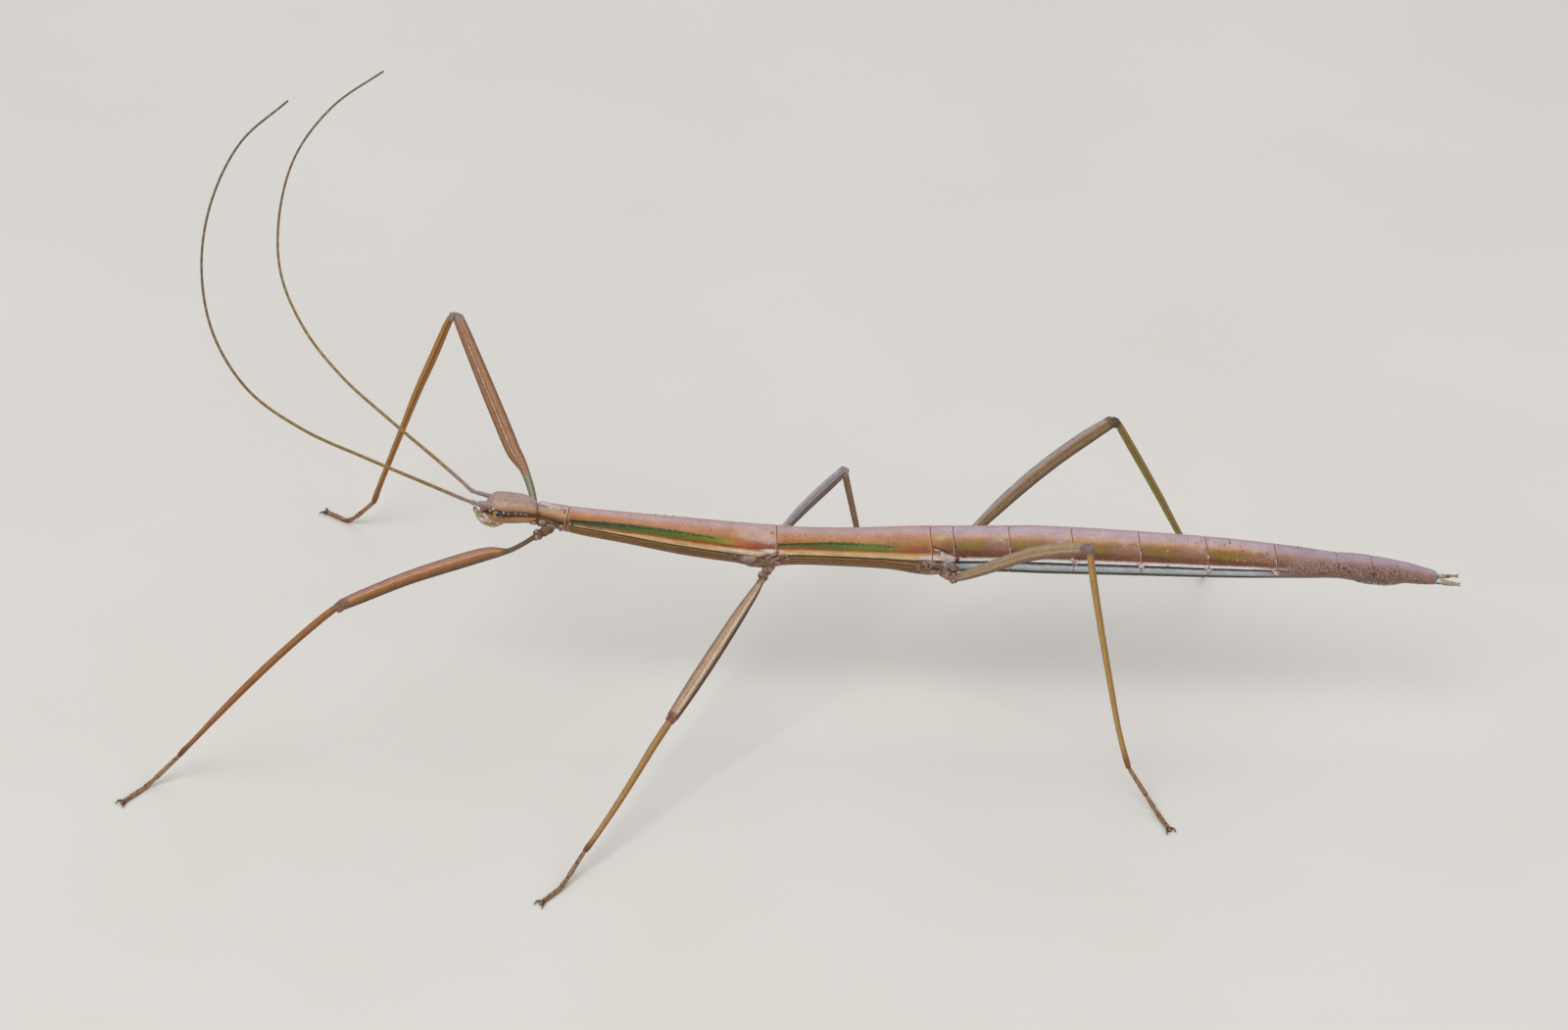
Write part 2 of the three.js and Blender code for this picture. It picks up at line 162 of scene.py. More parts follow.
def bell(value, centre, width):
    return math.exp(-(((value - centre) / width) ** 2))


def fade(value, low, high):
    t = min(max((value - low) / (high - low), 0), 1)
    return t * t * (3 - 2 * t)


def lengthOf(points):
    return sum((b - a).length for a, b in zip(points, points[1:]))


def roundedEnds(t, length, radius):
    # closes a rod's ends as quarter circles of its own radius
    nearest = min(t, 1 - t) * length
    return math.sqrt(max(1 - (1 - min(nearest / radius, 1)) ** 2, 0)) if nearest < radius else 1


def curvePoints(points, count):
    # evenly spaced points on a smooth path through the given ones, and its length
    steps = 60
    ends = [points[0] * 2 - points[1], *points, points[-1] * 2 - points[-2]]
    fine = []
    for p0, p1, p2, p3 in zip(ends, ends[1:], ends[2:], ends[3:]):
        t1 = (p1 - p0).length ** 0.5
        t2 = t1 + (p2 - p1).length ** 0.5
        t3 = t2 + (p3 - p2).length ** 0.5
        for k in range(steps):
            t = t1 + (t2 - t1) * k / steps
            a1, a2 = p0.lerp(p1, t / t1), p1.lerp(p2, (t - t1) / (t2 - t1))
            a3 = p2.lerp(p3, (t - t2) / (t3 - t2))
            b1, b2 = a1.lerp(a2, t / t2), a2.lerp(a3, (t - t1) / (t3 - t1))
            fine.append(b1.lerp(b2, (t - t1) / (t2 - t1)))
    fine.append(points[-1])
    lengths = [0]
    for a, b in zip(fine, fine[1:]):
        lengths.append(lengths[-1] + (b - a).length)
    spaced, i = [], 0
    for k in range(count):
        want = lengths[-1] * k / (count - 1)
        while i < len(fine) - 2 and lengths[i + 1] < want:
            i += 1
        part = (want - lengths[i]) / max(lengths[i + 1] - lengths[i], 1e-9)
        spaced.append(fine[i].lerp(fine[i + 1], min(max(part, 0), 1)))
    return spaced, lengths[-1]


def named(piece, name):
    piece.name = piece.data.name = name
    return piece


def store(piece, **facts):
    # keeps facts for the material to read, as one number per vertex or one for all of them
    for name, values in facts.items():
        if not isinstance(values, list):
            values = [values] * len(piece.data.vertices)
        piece.data.attributes.new(name, "FLOAT", "POINT").data.foreach_set("value", values)
    return piece


def ringedBar(name, count, rings):
    # a closed bar along Z with its long edges cut into rings, shaped by shapeBar
    bpy.ops.object.select_all(action="DESELECT")
    bpy.ops.mesh.primitive_cylinder_add(vertices=count, radius=1, depth=2, end_fill_type="NGON")
    piece = named(bpy.context.object, name)
    bpy.ops.object.mode_set(mode="EDIT")
    bpy.ops.mesh.select_mode(type="EDGE")
    bpy.ops.mesh.select_all(action="DESELECT")
    cage = bmesh.from_edit_mesh(piece.data)
    for edge in cage.edges:
        edge.select_set(abs(edge.verts[0].co.z - edge.verts[1].co.z) > 1)
    bmesh.update_edit_mesh(piece.data)
    bpy.ops.mesh.subdivide_edgering(number_cuts=rings - 2, interpolation="LINEAR", smoothness=0)
    bpy.ops.object.mode_set(mode="OBJECT")
    return piece


def shapeBar(piece, rings, place, facts):
    # place(ring, turn) gives a point in millimetres and the values of the named facts there;
    # turn is in degrees, 0 along the ring's upward direction and growing towards its left
    stored = []
    for vertex in piece.data.vertices:
        ring = round((vertex.co.z + 1) / 2 * (rings - 1))
        turn = (math.degrees(math.atan2(vertex.co.y, vertex.co.x)) - 90 + 180) % 360 - 180
        point, values = place(ring, turn)
        vertex.co = (point + boxShift) * mm
        stored.append(values)
    store(piece, **{fact: list(values) for fact, values in zip(facts, zip(*stored))})
    piece.data.update()


def rod(name, points, radius, count, rings, level=facing, relief=None, crest=None):
    # a limb along a path: radius(t) is its half thickness, level is where its rings' top points,
    # relief(turn, t) is a factor on the thickness, crest(turn, t) says where it is ridged or folded
    piece = ringedBar(name, count, rings)
    spine, length = curvePoints(points, rings)
    frames = []
    for k in range(rings):
        tangent = (spine[min(k + 1, rings - 1)] - spine[max(k - 1, 0)]).normalized()
        side = level.cross(tangent).normalized()
        frames.append((side, tangent.cross(side).normalized()))

    def place(ring, turn):
        t = ring / (rings - 1)
        side, over = frames[ring]
        angle = math.radians(turn)
        size = radius(t) * (relief(turn, t) if relief else 1)
        point = spine[ring] - side * (math.sin(angle) * size) + over * (math.cos(angle) * size)
        return point, (t, 0.5 + 0.5 * math.sin(angle), t * length, crest(turn, t) if crest else 0)

    shapeBar(piece, rings, place, ("part", "across", "run", "crest"))
    return piece


def ball(name, segments, rings):
    bpy.ops.object.select_all(action="DESELECT")
    bpy.ops.mesh.primitive_uv_sphere_add(segments=segments, ring_count=rings, radius=1)
    return named(bpy.context.object, name)


def lump(centre, half, basis, folds, seed=0.0, square=1.0, hollow=0.0):
    # an uneven small plate standing on basis[2]; its crest fact is 1 round its foot, as painted shade in the
    # fold where it meets what it stands on, and in its bumps' valleys; square below 1 makes it blocky, hollow
    # dents and darkens its middle
    piece = ball("lump", 24, 16)
    crests = []
    for vertex in piece.data.vertices:
        unit = [math.copysign(abs(c) ** square, c) for c in vertex.co]
        offset = sum((axis * (size * c) for axis, size, c in zip(basis, half, unit)), Vector())
        bumpy = noise.noise((centre + offset) * 2.9 + Vector((seed, seed, 0)))
        height = vertex.co.z
        # painted shade: darker round the foot, in the fold where the plate meets what it stands on
        foot = 1 - fade(height, -0.1, 0.4)
        dip = hollow * fade(height, 0.72, 0.9)
        vertex.co = (centre + boxShift + offset * (1 + folds * 2 * bumpy - 0.25 * dip)) * mm
        crests.append(min(max(0.24 - bumpy * 0.6, 0.75 * foot, dip), 1))
    if basis[0].cross(basis[1]).dot(basis[2]) < 0:
        piece.data.flip_normals()
    return store(piece, crest=crests)


def joined(name, pieces):
    bpy.ops.object.select_all(action="DESELECT")
    for piece in pieces:
        piece.select_set(True)
    bpy.context.view_layer.objects.active = pieces[0]
    bpy.ops.object.join()
    return named(pieces[0], name)


def settle(piece, material, slotName, *nodes):
    bpy.ops.object.select_all(action="DESELECT")
    piece.select_set(True)
    bpy.context.view_layer.objects.active = piece
    bpy.ops.object.shade_smooth()
    for vertex in piece.data.vertices:
        vertex.co.z = max(vertex.co.z, 0)  # nothing dips under the floor
    piece.data.materials.clear()
    piece.data.materials.append(material)
    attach(piece, "root")
    if nodes:
        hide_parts(*nodes)


body = {  # all in millimetres
    "joints": [-20.5, -17.85, -0.55, 12.25, 14.15, 18.8, 24.05, 29.7, 35.35, 41.15, 46.4, 49.35, 51.6],
    "snout": -25.24,
    "end": 55.12,
    "roll": math.radians(-3),
    "sides": 128,
    "axisHeight": [
        (-25.5, 18.35), (-23, 18.3), (-20.5, 17.9), (-17.8, 17.25), (-13, 16.55), (-8, 15.9), (-0.5, 15.2),
        (12, 15.15), (21, 15.3), (35, 14.95), (46.4, 14.4), (51.6, 13.9), (55, 13.35),
    ],
    "headLift": [
        (-25.2, -0.34), (-24.85, -0.22), (-24.5, -0.12), (-24.1, -0.06), (-23.6, -0.05), (-22.7, 0.01),
        (-21.7, 0.09), (-20.85, 0.08), (-20.5, 0.02),
    ],
    # place, half width and half depth
    "girth": [
        (-25.24, 0.04, 0.04), (-25.16, 0.3, 0.24), (-25.0, 0.52, 0.42), (-24.8, 0.72, 0.64),
        (-24.5, 0.97, 0.98), (-24.1, 1.22, 1.18), (-23.6, 1.37, 1.26), (-22.7, 1.34, 1.28),
        (-21.7, 1.22, 1.18), (-20.95, 1.06, 1.04), (-20.5, 0.9, 0.9), (-20.2, 0.97, 0.95),
        (-19.4, 1.02, 0.98), (-17.8, 1.12, 1.08), (-13, 1.32, 1.28), (-8, 1.52, 1.48), (-0.5, 1.68, 1.62),
        (1.5, 1.58, 1.55), (6, 1.68, 1.62), (12, 1.95, 1.88), (18, 1.97, 1.93), (22, 2.05, 1.98),
        (32, 1.86, 1.8), (38, 1.68, 1.6), (43.5, 1.34, 1.28), (46.4, 1.12, 1.08), (48, 1.17, 1.13),
        (51.6, 0.99, 0.93), (54, 0.76, 0.7), (54.7, 0.66, 0.6), (54.95, 0.58, 0.52), (55.08, 0.42, 0.38),
        (55.12, 0.03, 0.03),
    ],
    # where the green side stripe starts and ends, in degrees down from the ridge of the back
    "stripeTop": [
        (-17.9, 59), (-16.5, 55), (-14.7, 49), (-10.6, 46), (-6.6, 52), (-3.5, 57), (-1.1, 52), (0, 55),
        (1.1, 52), (4.8, 45), (8, 51), (10.1, 55), (12.4, 54),
    ],
    "stripeLow": [
        (-17.9, 77), (-16.5, 77), (-14.7, 75), (-10.6, 71), (-6.6, 69), (-3.5, 72), (-1.1, 68), (0, 63),
        (1.1, 61), (3, 64), (4.8, 66), (8, 67), (10.1, 67), (12.4, 65),
    ],
    # the crease between side and breast
    "crease": [
        (-17.9, 86), (-14.6, 90), (-10.6, 97), (-6.5, 101), (-2, 100), (0, 93), (4.8, 91), (10, 92), (14, 90),
    ],
    # how far a joint's line lies further back on the sides than on the ridge of the back
    "bow": [
        (-20.5, 0), (-19.5, 0), (-17.85, -0.3), (-15, 0), (-2, 0.05), (6, 0.1), (12, 0.22), (54, 0.24),
        (55.12, 0),
    ],
}
marks = {  # place along the body, degrees down its side, half length and half height of small marks
    "pale": [
        # the pale mark at the feeler's socket (-24.2) and the one on the ridge of the pronotum (-19.9) are
        # painted highlights
        (-24.2, 61, 0.16, 6), (-24.45, 74, 0.1, 4), (-23.3, 76, 0.09, 3.5), (-19.9, 4, 0.5, 5),
        (-19.47, 20, 0.08, 7), (-3.6, 86, 2.1, 3), (-0.9, 78, 0.9, 5), (12.4, 83, 1.1, 6),
        (12.8, 62, 0.2, 1.8), (13.2, 66.5, 0.2, 1.6), (13.7, 88, 0.5, 6),
    ],
    "dark": [
        # the dark mark at -24.72 is a painted shadow in the hollow under the feeler
        (-24.72, 72, 0.2, 9), (-24.25, 80, 0.4, 4), (-23.35, 86, 0.14, 6), (-20.0, 17, 0.4, 2.5),
        (-20.32, 68, 0.06, 8), (-19.9, 76, 0.45, 3), (-18.8, 84, 0.6, 6), (-17.6, 80, 0.12, 8),
        (12.3, 92, 0.6, 1.5), (12.55, 53, 0.16, 2.6), (12.85, 57, 0.2, 2.4), (13.1, 90, 0.5, 1.6),
        (13.2, 61, 0.22, 2.4), (13.55, 65, 0.22, 2.4), (13.9, 69, 0.16, 2.4), (14.35, 53, 0.1, 4),
        (15.1, 78, 0.12, 3.5), (24.7, 79, 0.12, 3.5), (32.2, 88, 0.1, 3), (36.0, 95, 0.12, 3.5),
        (37.4, 6, 0.12, 4), (46.6, 62, 0.1, 12), (47.0, 70, 0.14, 6), (47.5, 84, 0.3, 5), (49.6, 84, 0.3, 5),
        (51.35, 59, 0.14, 6),
    ],
    "rust": [
        (-24.25, 51, 0.09, 4), (-18.25, 20, 0.1, 6), (-18.2, 34, 0.13, 8), (-17.5, 24, 0.1, 6),
        (-16.2, 76, 1.3, 2.5), (-13.6, 71, 1.4, 2.2), (-6.1, 34, 0.13, 5), (-0.9, 62, 0.3, 6),
        (4.0, 24, 0.12, 4), (13.95, 74, 0.3, 6), (18.6, 73, 0.35, 6), (23.85, 74, 0.35, 7),
        (29.5, 75, 0.35, 7), (35.15, 76, 0.35, 7), (40.9, 78, 0.35, 7),
    ],
    "lilac": [
        (-22.85, 81, 0.14, 3), (-22.3, 80, 0.14, 3), (-21.85, 80, 0.12, 3), (-21.45, 82, 0.14, 3),
        (-18.9, 10, 0.7, 12), (-2.3, 34, 1.5, 20), (-1.1, 50, 0.5, 9),
    ],
    "olive": [(13.1, 28, 0.42, 9), (17.9, 30, 0.36, 8)],
    "breast": [
        (-19.4, 118, 0.9, 26), (-3.4, 112, 1.5, 10), (-2.2, 122, 0.9, 20), (-1.2, 110, 0.5, 22),
        (12.0, 118, 1.0, 22),
    ],
}
headBumps = [  # height, place, half length, degrees down and half width in degrees, and how much it slants
    (0.05, -23.72, 0.5, 76, 30, 0),
    (0.07, -24.05, 0.3, 34, 14, 0),  # brow
    (-0.07, -24.45, 0.28, 0, 22, 0),  # hollow between the feelers
    (-0.1, -24.75, 0.2, 70, 14, 0),  # hollow under the feeler
    (0.045, -23.6, 0.6, 40, 5, -9),  # ridge behind each feeler
    (0.035, -23.7, 0.5, 12, 5, 5),
    (0.05, -21.6, 0.8, 24, 16, 0),
    (-0.035, -22.2, 1.4, 0, 6, 0),  # parting line along the crown
    (-0.05, -22.2, 1.3, 90, 4.5, 0),  # line between stripe and cheek
    (0.05, -22.8, 1.2, 104, 12, 0),
]
ridges = {  # height, degrees down and half width of each lengthwise ridge or groove
    "thorax": [(0.03, 112, 3.2), (0.03, 124, 3.2), (0.03, 137, 3.2), (0.03, 151, 3.2), (0.05, 180, 9)],
    "belly": [
        (0.035, 79, 4), (-0.05, 84, 2), (0.02, 88, 3), (-0.1, 97, 3.6), (0.03, 107, 5), (-0.06, 125, 2.6),
    ],
}


def bodyPoint(x, side, lift):
    c, s = math.cos(body["roll"]), math.sin(body["roll"])
    return Vector((x, side * c - lift * s, keyed(body["axisHeight"], x) + side * s + lift * c))


def makeStations(edges):
    # places along the body where it gets a ring, closest together at the joints and the ends
    near = [0, 0.02, 0.05, 0.09, 0.14, 0.2, 0.28, 0.38]
    stations = []
    for start, end in zip(edges, edges[1:]):
        step = 0.065 if start < -20.6 else 0.165
        inner = end - start - 2 * near[-1]
        count = round(inner / step)
        stations += [start + d for d in near]
        stations += [start + near[-1] + inner * k / count for k in range(1, count)]
        stations += [end - d for d in reversed(near[1:])]
    return [*stations, body["end"]]


def breastBulge(x, down):
    # the breast swells in front of the middle and the hind legs
    return bell(down, 122, 28) * (0.44 * bell(x, -2.0, 1.5) + 0.4 * bell(x, 11.6, 1.8))


def bodyRelief(x, turn, gap):
    # millimetres added to the body's radius
    down = abs(turn)
    deep = 1 if x > -17 else 1.4
    high = deep * (0.016 * bell(gap, -0.12, 0.08) - 0.055 * bell(gap, 0, 0.04) - 0.015 * bell(gap, 0.13, 0.1))
    high -= 0.12 * bell(x, -20.5, 0.16)  # neck
    thorax = fade(x, -17.7, -16.8) * (1 - fade(x, 11.6, 12.4))
    crease = keyed(body["crease"], x)
    high += thorax * (0.06 * bell(down, crease - 9, 6) - 0.1 * bell(down, crease + 1, 3.4))
    belly = fade(x, 14.4, 15.2) * (1 - fade(x, 40.2, 41.1))
    for part, amount in (("thorax", thorax), ("belly", belly)):
        high += amount * sum(height * bell(down, middle, half) for height, middle, half in ridges[part])
    high += 0.2 * fade(down, 100, 150) * bell(x, -6, 5.5) + breastBulge(x, down)
    # a groove and a fold across the pronotum, and a hollow along its side
    high -= (0.06 * bell(x, -19.5, 0.08) - 0.04 * bell(x, -19.38, 0.06)) * (1 - fade(down, 85, 110))
    return high - 0.04 * bell(down, 74, 5) * bell(x, -19.0, 1.1)


def headRelief(x, turn):
    # brow, cheek, the hollows round the feelers and the ridges that slant back from them
    slant = x + 24.2
    return sum(
        height * bell(x, mx, rx) * bell(abs(turn), md + lean * slant, rd)
        for height, mx, rx, md, rd, lean in headBumps
    )


def skinNoise(x, point):
    # uneven skin: granules on head, prothorax and tail, faint grain elsewhere
    rough = 0.3 + 1.2 * bell(x, -18.7, 0.8) + 0.9 * fade(x, 40, 47) + 0.55 * (1 - fade(x, -21, -20))
    fine = noise.noise(point * 9)
    coarse, finest = noise.noise(point * 4.5), noise.noise(point * 17)
    return rough * (0.018 * coarse + 0.032 * fine * abs(fine) + 0.008 * finest)


def makeBody():
    edges = [body["snout"], *body["joints"], body["end"]]
    stations = makeStations(edges)
    piece = ringedBar("body_skin", body["sides"], len(stations))

    def place(ring, turn):
        spot = stations[ring]  # counted along the ridge of the back
        gap = min((spot - joint for joint in body["joints"]), key=abs)
        start = max(edge for edge in edges[:-1] if edge <= spot)
        end = min(edge for edge in edges[1:] if edge > start)
        angle, down = math.radians(turn), abs(turn)
        x = spot + keyed(body["bow"], spot) * math.sin(angle) ** 2
        width, depth = keyed(body["girth"], spot), keyed(body["girth"], spot, 2)
        high = bodyRelief(x, turn, gap) + (headRelief(x, turn) if x < -20.2 else 0)
        near = min(width / 0.6, 1)
        high = high * near * near + skinNoise(x, Vector((x, down / 60, depth))) * near
        lift = math.cos(angle) * (depth + high) + keyed(body["headLift"], x)
        crease, level = keyed(body["crease"], x), down
        if -17.85 < spot < 14:
            level = down * 94 / crease if down < crease else 94 + (down - crease) * 86 / (180 - crease)
        top, low = keyed(body["stripeTop"], x), keyed(body["stripeLow"], x)
        facts = [
            x, level / 180, min(abs(gap), 0.5), float(gap < 0), (spot - start) / (end - start),
            (down - top) / (low - top),
        ]
        for listed in marks.values():
            near = (mark for mark in listed if abs(x - mark[0]) < 3 * mark[2])
            facts.append(min(sum(bell(x, mx, rx) * bell(down, md, rd) for mx, md, rx, rd in near), 1))
        return bodyPoint(x, -math.sin(angle) * (width + high), lift), facts

    shapeBar(piece, len(stations), place, ("along", "around", "gap", "ahead", "part", "stripe", *marks))
    return piece


# near the ridge of the back the pale lilac grey in these colours is partly a painted sky reflection
bands = {  # degrees down from the ridge of the back, and the colour there
    "head": [
        (0, "a38f88"), (24, "a0857c"), (40, "a8917d"), (52, "a8876a"), (64, "96714f"), (74, "6b4732"),
        (80, "562e18"), (87, "583118"), (93, "7a552f"), (100, "a87f4f"), (112, "a97c51"), (130, "a07a4c"),
        (180, "80624c"),
    ],
    "pronotum": [
        (0, "a9a098"), (12, "9c8680"), (24, "9c8b78"), (36, "aa8e74"), (46, "b0885c"), (56, "a07247"),
        (64, "8a5c34"), (72, "794e34"), (80, "5a3018"), (88, "6a4422"), (98, "82583f"), (108, "a0745c"),
        (120, "a8805f"), (180, "70563e"),
    ],
    "thorax": [
        (0, "a89290"), (9, "ae908c"), (17, "b38a7c"), (25, "b28269"), (33, "ae7a5a"), (41, "a2703c"),
        (50, "926028"), (62, "8c5420"), (70, "7a4416"), (74, "a8764a"), (78, "bb9262"), (84, "c4a272"),
        (89, "d0bc98"), (91.5, "a89474"), (94, "33200f"), (97.5, "5c4020"), (101, "8a6a38"), (106, "57300f"),
        (111, "8a6230"), (117, "5a340f"), (125, "90683a"), (133, "553215"), (141, "8e6632"), (149, "56361a"),
        (157, "a07c3c"), (166, "70552c"), (180, "80623a"),
    ],
    "abdomen": [
        (0, "aa9aa2"), (12, "ae9299"), (20, "b4958d"), (28, "b48e72"), (36, "a0764a"), (46, "7e5926"),
        (56, "724c1e"), (64, "623c22"), (71, "6e4632"), (77, "683a2a"), (79.5, "a07258"), (82, "c8bab2"),
        (86, "d0d2d6"), (89, "c4c8ca"), (91, "40302a"), (97, "241a16"), (99, "827f81"), (103, "b4b8ba"),
        (116, "acaeb0"), (120, "787472"), (123, "333d1c"), (148, "333c1d"), (180, "4c4a2b"),
    ],
    "tail": [
        (0, "998b98"), (16, "9d898f"), (28, "a08688"), (40, "967676"), (52, "88675e"), (66, "84625a"),
        (80, "846459"), (98, "7c5c4e"), (114, "785e52"), (140, "6c5848"), (180, "685a4c"),
    ],
}
stripeColours = [  # along the thorax, the colour of the side stripe
    (-17.8, "1c2624"), (-16, "22301c"), (-14, "2c400c"), (-11, "36500a"), (-8.5, "465e0a"), (-6, "5c6c0e"),
    (-4.7, "8f7d24"), (-3.8, "a56428"), (-2.4, "96462a"), (-1.0, "804a3c"), (-0.5, "6a483a"),
    (-0.3, "1c2018"), (1.6, "26380f"), (4, "34520a"), (6.5, "4c680c"), (8.6, "5c7014"), (9.4, "7c6c1c"),
    (10.0, "8e5c28"), (10.9, "8a4a2c"), (12.2, "7c4c38"),
]


def makeBodyMaterial():
    # insect cuticle, waxy and grainy: dyed in lengthwise bands, with brown lines at the joints; the pale
    # lilac along the ridge of the back is partly a painted sky reflection
    material, tree, facts = newMaterial(
        "banded_insect_cuticle", "along", "around", "gap", "ahead", "part", "stripe", *marks
    )
    along, around, gap, ahead, part, stripe, pale, dark, rust, lilac, olive, breast = facts
    drift = grain(tree, 0.5, 0, 1, 4, -0.011, 0.011)
    level = addNode(tree, "Math", {0: around, 1: drift}, operation="ADD")
    zones = {
        name: addNode(tree, "ValToRGB", {0: level}, stops=[(angle / 180, shade) for angle, shade in stops])
        for name, stops in bands.items()
    }
    colour = zones["head"]
    for name, start, soft in (
        ("pronotum", -20.5, 0.06), ("thorax", -17.85, 0.06), ("abdomen", 13.3, 0.9), ("tail", 41.2, 2.2),
    ):
        values = {0: along, 1: start - soft, 2: start + soft}
        step = addNode(tree, "MapRange", values, interpolation_type="SMOOTHSTEP")
        colour = paint(tree, colour, (zones[name], step))

    # green stripe low on the sides of the thorax: ragged, dark along its upper edge, rusty below
    low, high = -17.8, 12.2
    reach = addNode(tree, "MapRange", {0: along, 1: low, 2: high})
    greens = [((x - low) / (high - low), shade) for x, shade in stripeColours]
    shake = grain(tree, 0.2, 0, 1, 6, -0.24, 0.24)
    ragged = addNode(tree, "Math", {0: stripe, 1: shake}, operation="ADD")
    fore, aft = window(tree, along, -17.7, -5.5, 0.5), window(tree, along, -0.2, 9.2, 0.8)
    greenPart = addNode(tree, "Math", {0: fore, 1: aft}, operation="ADD")
    thorax = window(tree, along, -17.8, 12.0, 0.15)
    colour = paint(
        tree, colour,
        (addNode(tree, "ValToRGB", {0: reach}, stops=greens), (ragged, -0.04, 0.96, 0.13), thorax),
        ("1c2210", (ragged, -0.04, 0.34, 0.12), greenPart, (0.25, 0.35, 0.6)),
        ("8c8a24", (stripe, 0.35, 1.1, 0.2), greenPart, (0.09, 0.54, 0.72)),
        ("5e6008", (stripe, 0.6, 1.05, 0.3), greenPart, 0.55),
        ("8a4318", (stripe, 1.02, 1.2, 0.05), thorax, (1.6, 0.35, 0.55)),
    )

    # olive patch in the front half of each belly plate's side, and a painted highlight, a pale sheen, on the
    # rear upper part
    belly = window(tree, along, 14.4, 42.5, 0.4)
    colour = paint(
        tree, colour,
        ("885e4a", (part, 0.5, 1.2, 0.2), (level, 0.2, 0.4, 0.06), belly, 0.75),
        ("786414", (part, 0.08, 0.48, 0.16), (level, 0.225, 0.36, 0.035), belly, (0.9, 0.25, 0.62)),
        # painted highlight: the pale sheen on the rear upper part of each belly plate
        ("baa6a8", (part, 0.66, 0.97, 0.14), (level, 0.1, 0.26, 0.05), belly, (0.5, 0.42, 0.8)),
        ("502819", (level, 0.35, 0.437, 0.03), belly, (0.11, 0.4, 0.7)),
    )

    # brown stripe behind the eye, mottled crown, olive breast, then the small marks, two pale ones of them
    # painted highlights and one dark one a painted shadow
    top = window(tree, around, -0.1, 0.34, 0.05)
    swelling = window(tree, breast, 0.25, 2, 0.2)
    colour = paint(
        tree, colour,
        ("4e2c1c", (around, 0.41, 0.525, 0.018), (along, -23.4, -20.7, 0.12)),
        ("9c6848", (along, -24.6, -21.2, 0.3), (0.24, 0.5, 0.72, 2), top),
        ("8c4a2c", (0.14, 0.66, 0.84), top),
        ("64492f", swelling),
        ("8a6c58", swelling, (0.34, 0.42, 0.6)),
        ("33231a", swelling, (0.16, 0.56, 0.66)),
        ("b8a59c", (lilac, 0.4, 2, 0.4), 0.55),
        ("b2a066", (olive, 0.5, 2, 0.4), (0.5, 0.2, 0.5, 3, 0.4, 0.8)),
        # pale marks; the one at the feeler's socket and the one on the ridge of the pronotum are painted
        # highlights
        ("cdbfba", (pale, 0.4, 2, 0.25), 0.85),
        # dark marks; the one in the hollow under the feeler is a painted shadow
        ("30201c", (dark, 0.4, 2, 0.25), 0.85),
        ("84482c", (rust, 0.4, 2, 0.25), (0.16, 0.42, 0.56)),
    )

    # speckle all over, coarser and stronger on the tail; woody streaks along the breast and the cream band
    tail, side = window(tree, along, 41, 56, 2.5), window(tree, level, 0.24, 0.8, 0.06)
    coarse = ("4c322a", (0.13, 0.5, 0.66), tail, side), ("b09482", (0.14, 0.54, 0.72, 2), tail, side)
    colour = paint(tree, colour, *coarse)
    woody = fibres(tree, along, around, (0.9, 95, 1), 4, 0.55, 1.4)
    colour = paint(
        tree, colour,
        ((0.12, 0.3, 0.7, 3, 0.74, 1.2), 0.75),
        ((1.3, 0.3, 0.72, 3, 0.86, 1.1), 1.0),
        (woody, (level, 0.44, 1.2, 0.04), (along, -17.8, 13.5, 0.3)),
        blend="MULTIPLY",
    )

    # joints: a pale rim in front, a thin brown line in the fold
    crease = window(tree, gap, -0.1, 0.032, 0.02)
    rim, upper = (gap, 0.055, 0.115, 0.03), (around, -0.1, 0.55, 0.04)
    colour = paint(
        tree, colour,
        ("b89c90", rim, ahead, upper, (along, -18.5, 43, 0.3), (0.4, 0.25, 0.6)),
        ("5c382c", crease, (along, -20.3, 43, 0.1)),
        ("6a4a44", crease, (along, 43, 60, 0.1), (0.6, 0.3, 0.7)),
        ("7a5040", (gap, -0.1, 0.05, 0.05), (along, -21, -20.3, 0.1), 0.8),
    )
    finish(tree, colour, 0.08, 0.022, (0.34, 0.56))
    return material


bodySkin = makeBody()
plates = ["head", "pronotum", "mesothorax", "metathorax", "median_segment"]
settle(bodySkin, makeBodyMaterial(), "thorax_cuticle", *plates, *[f"abdomen_{i}" for i in range(2, 11)])
print("body done", len(bodySkin.data.polygons), "faces")


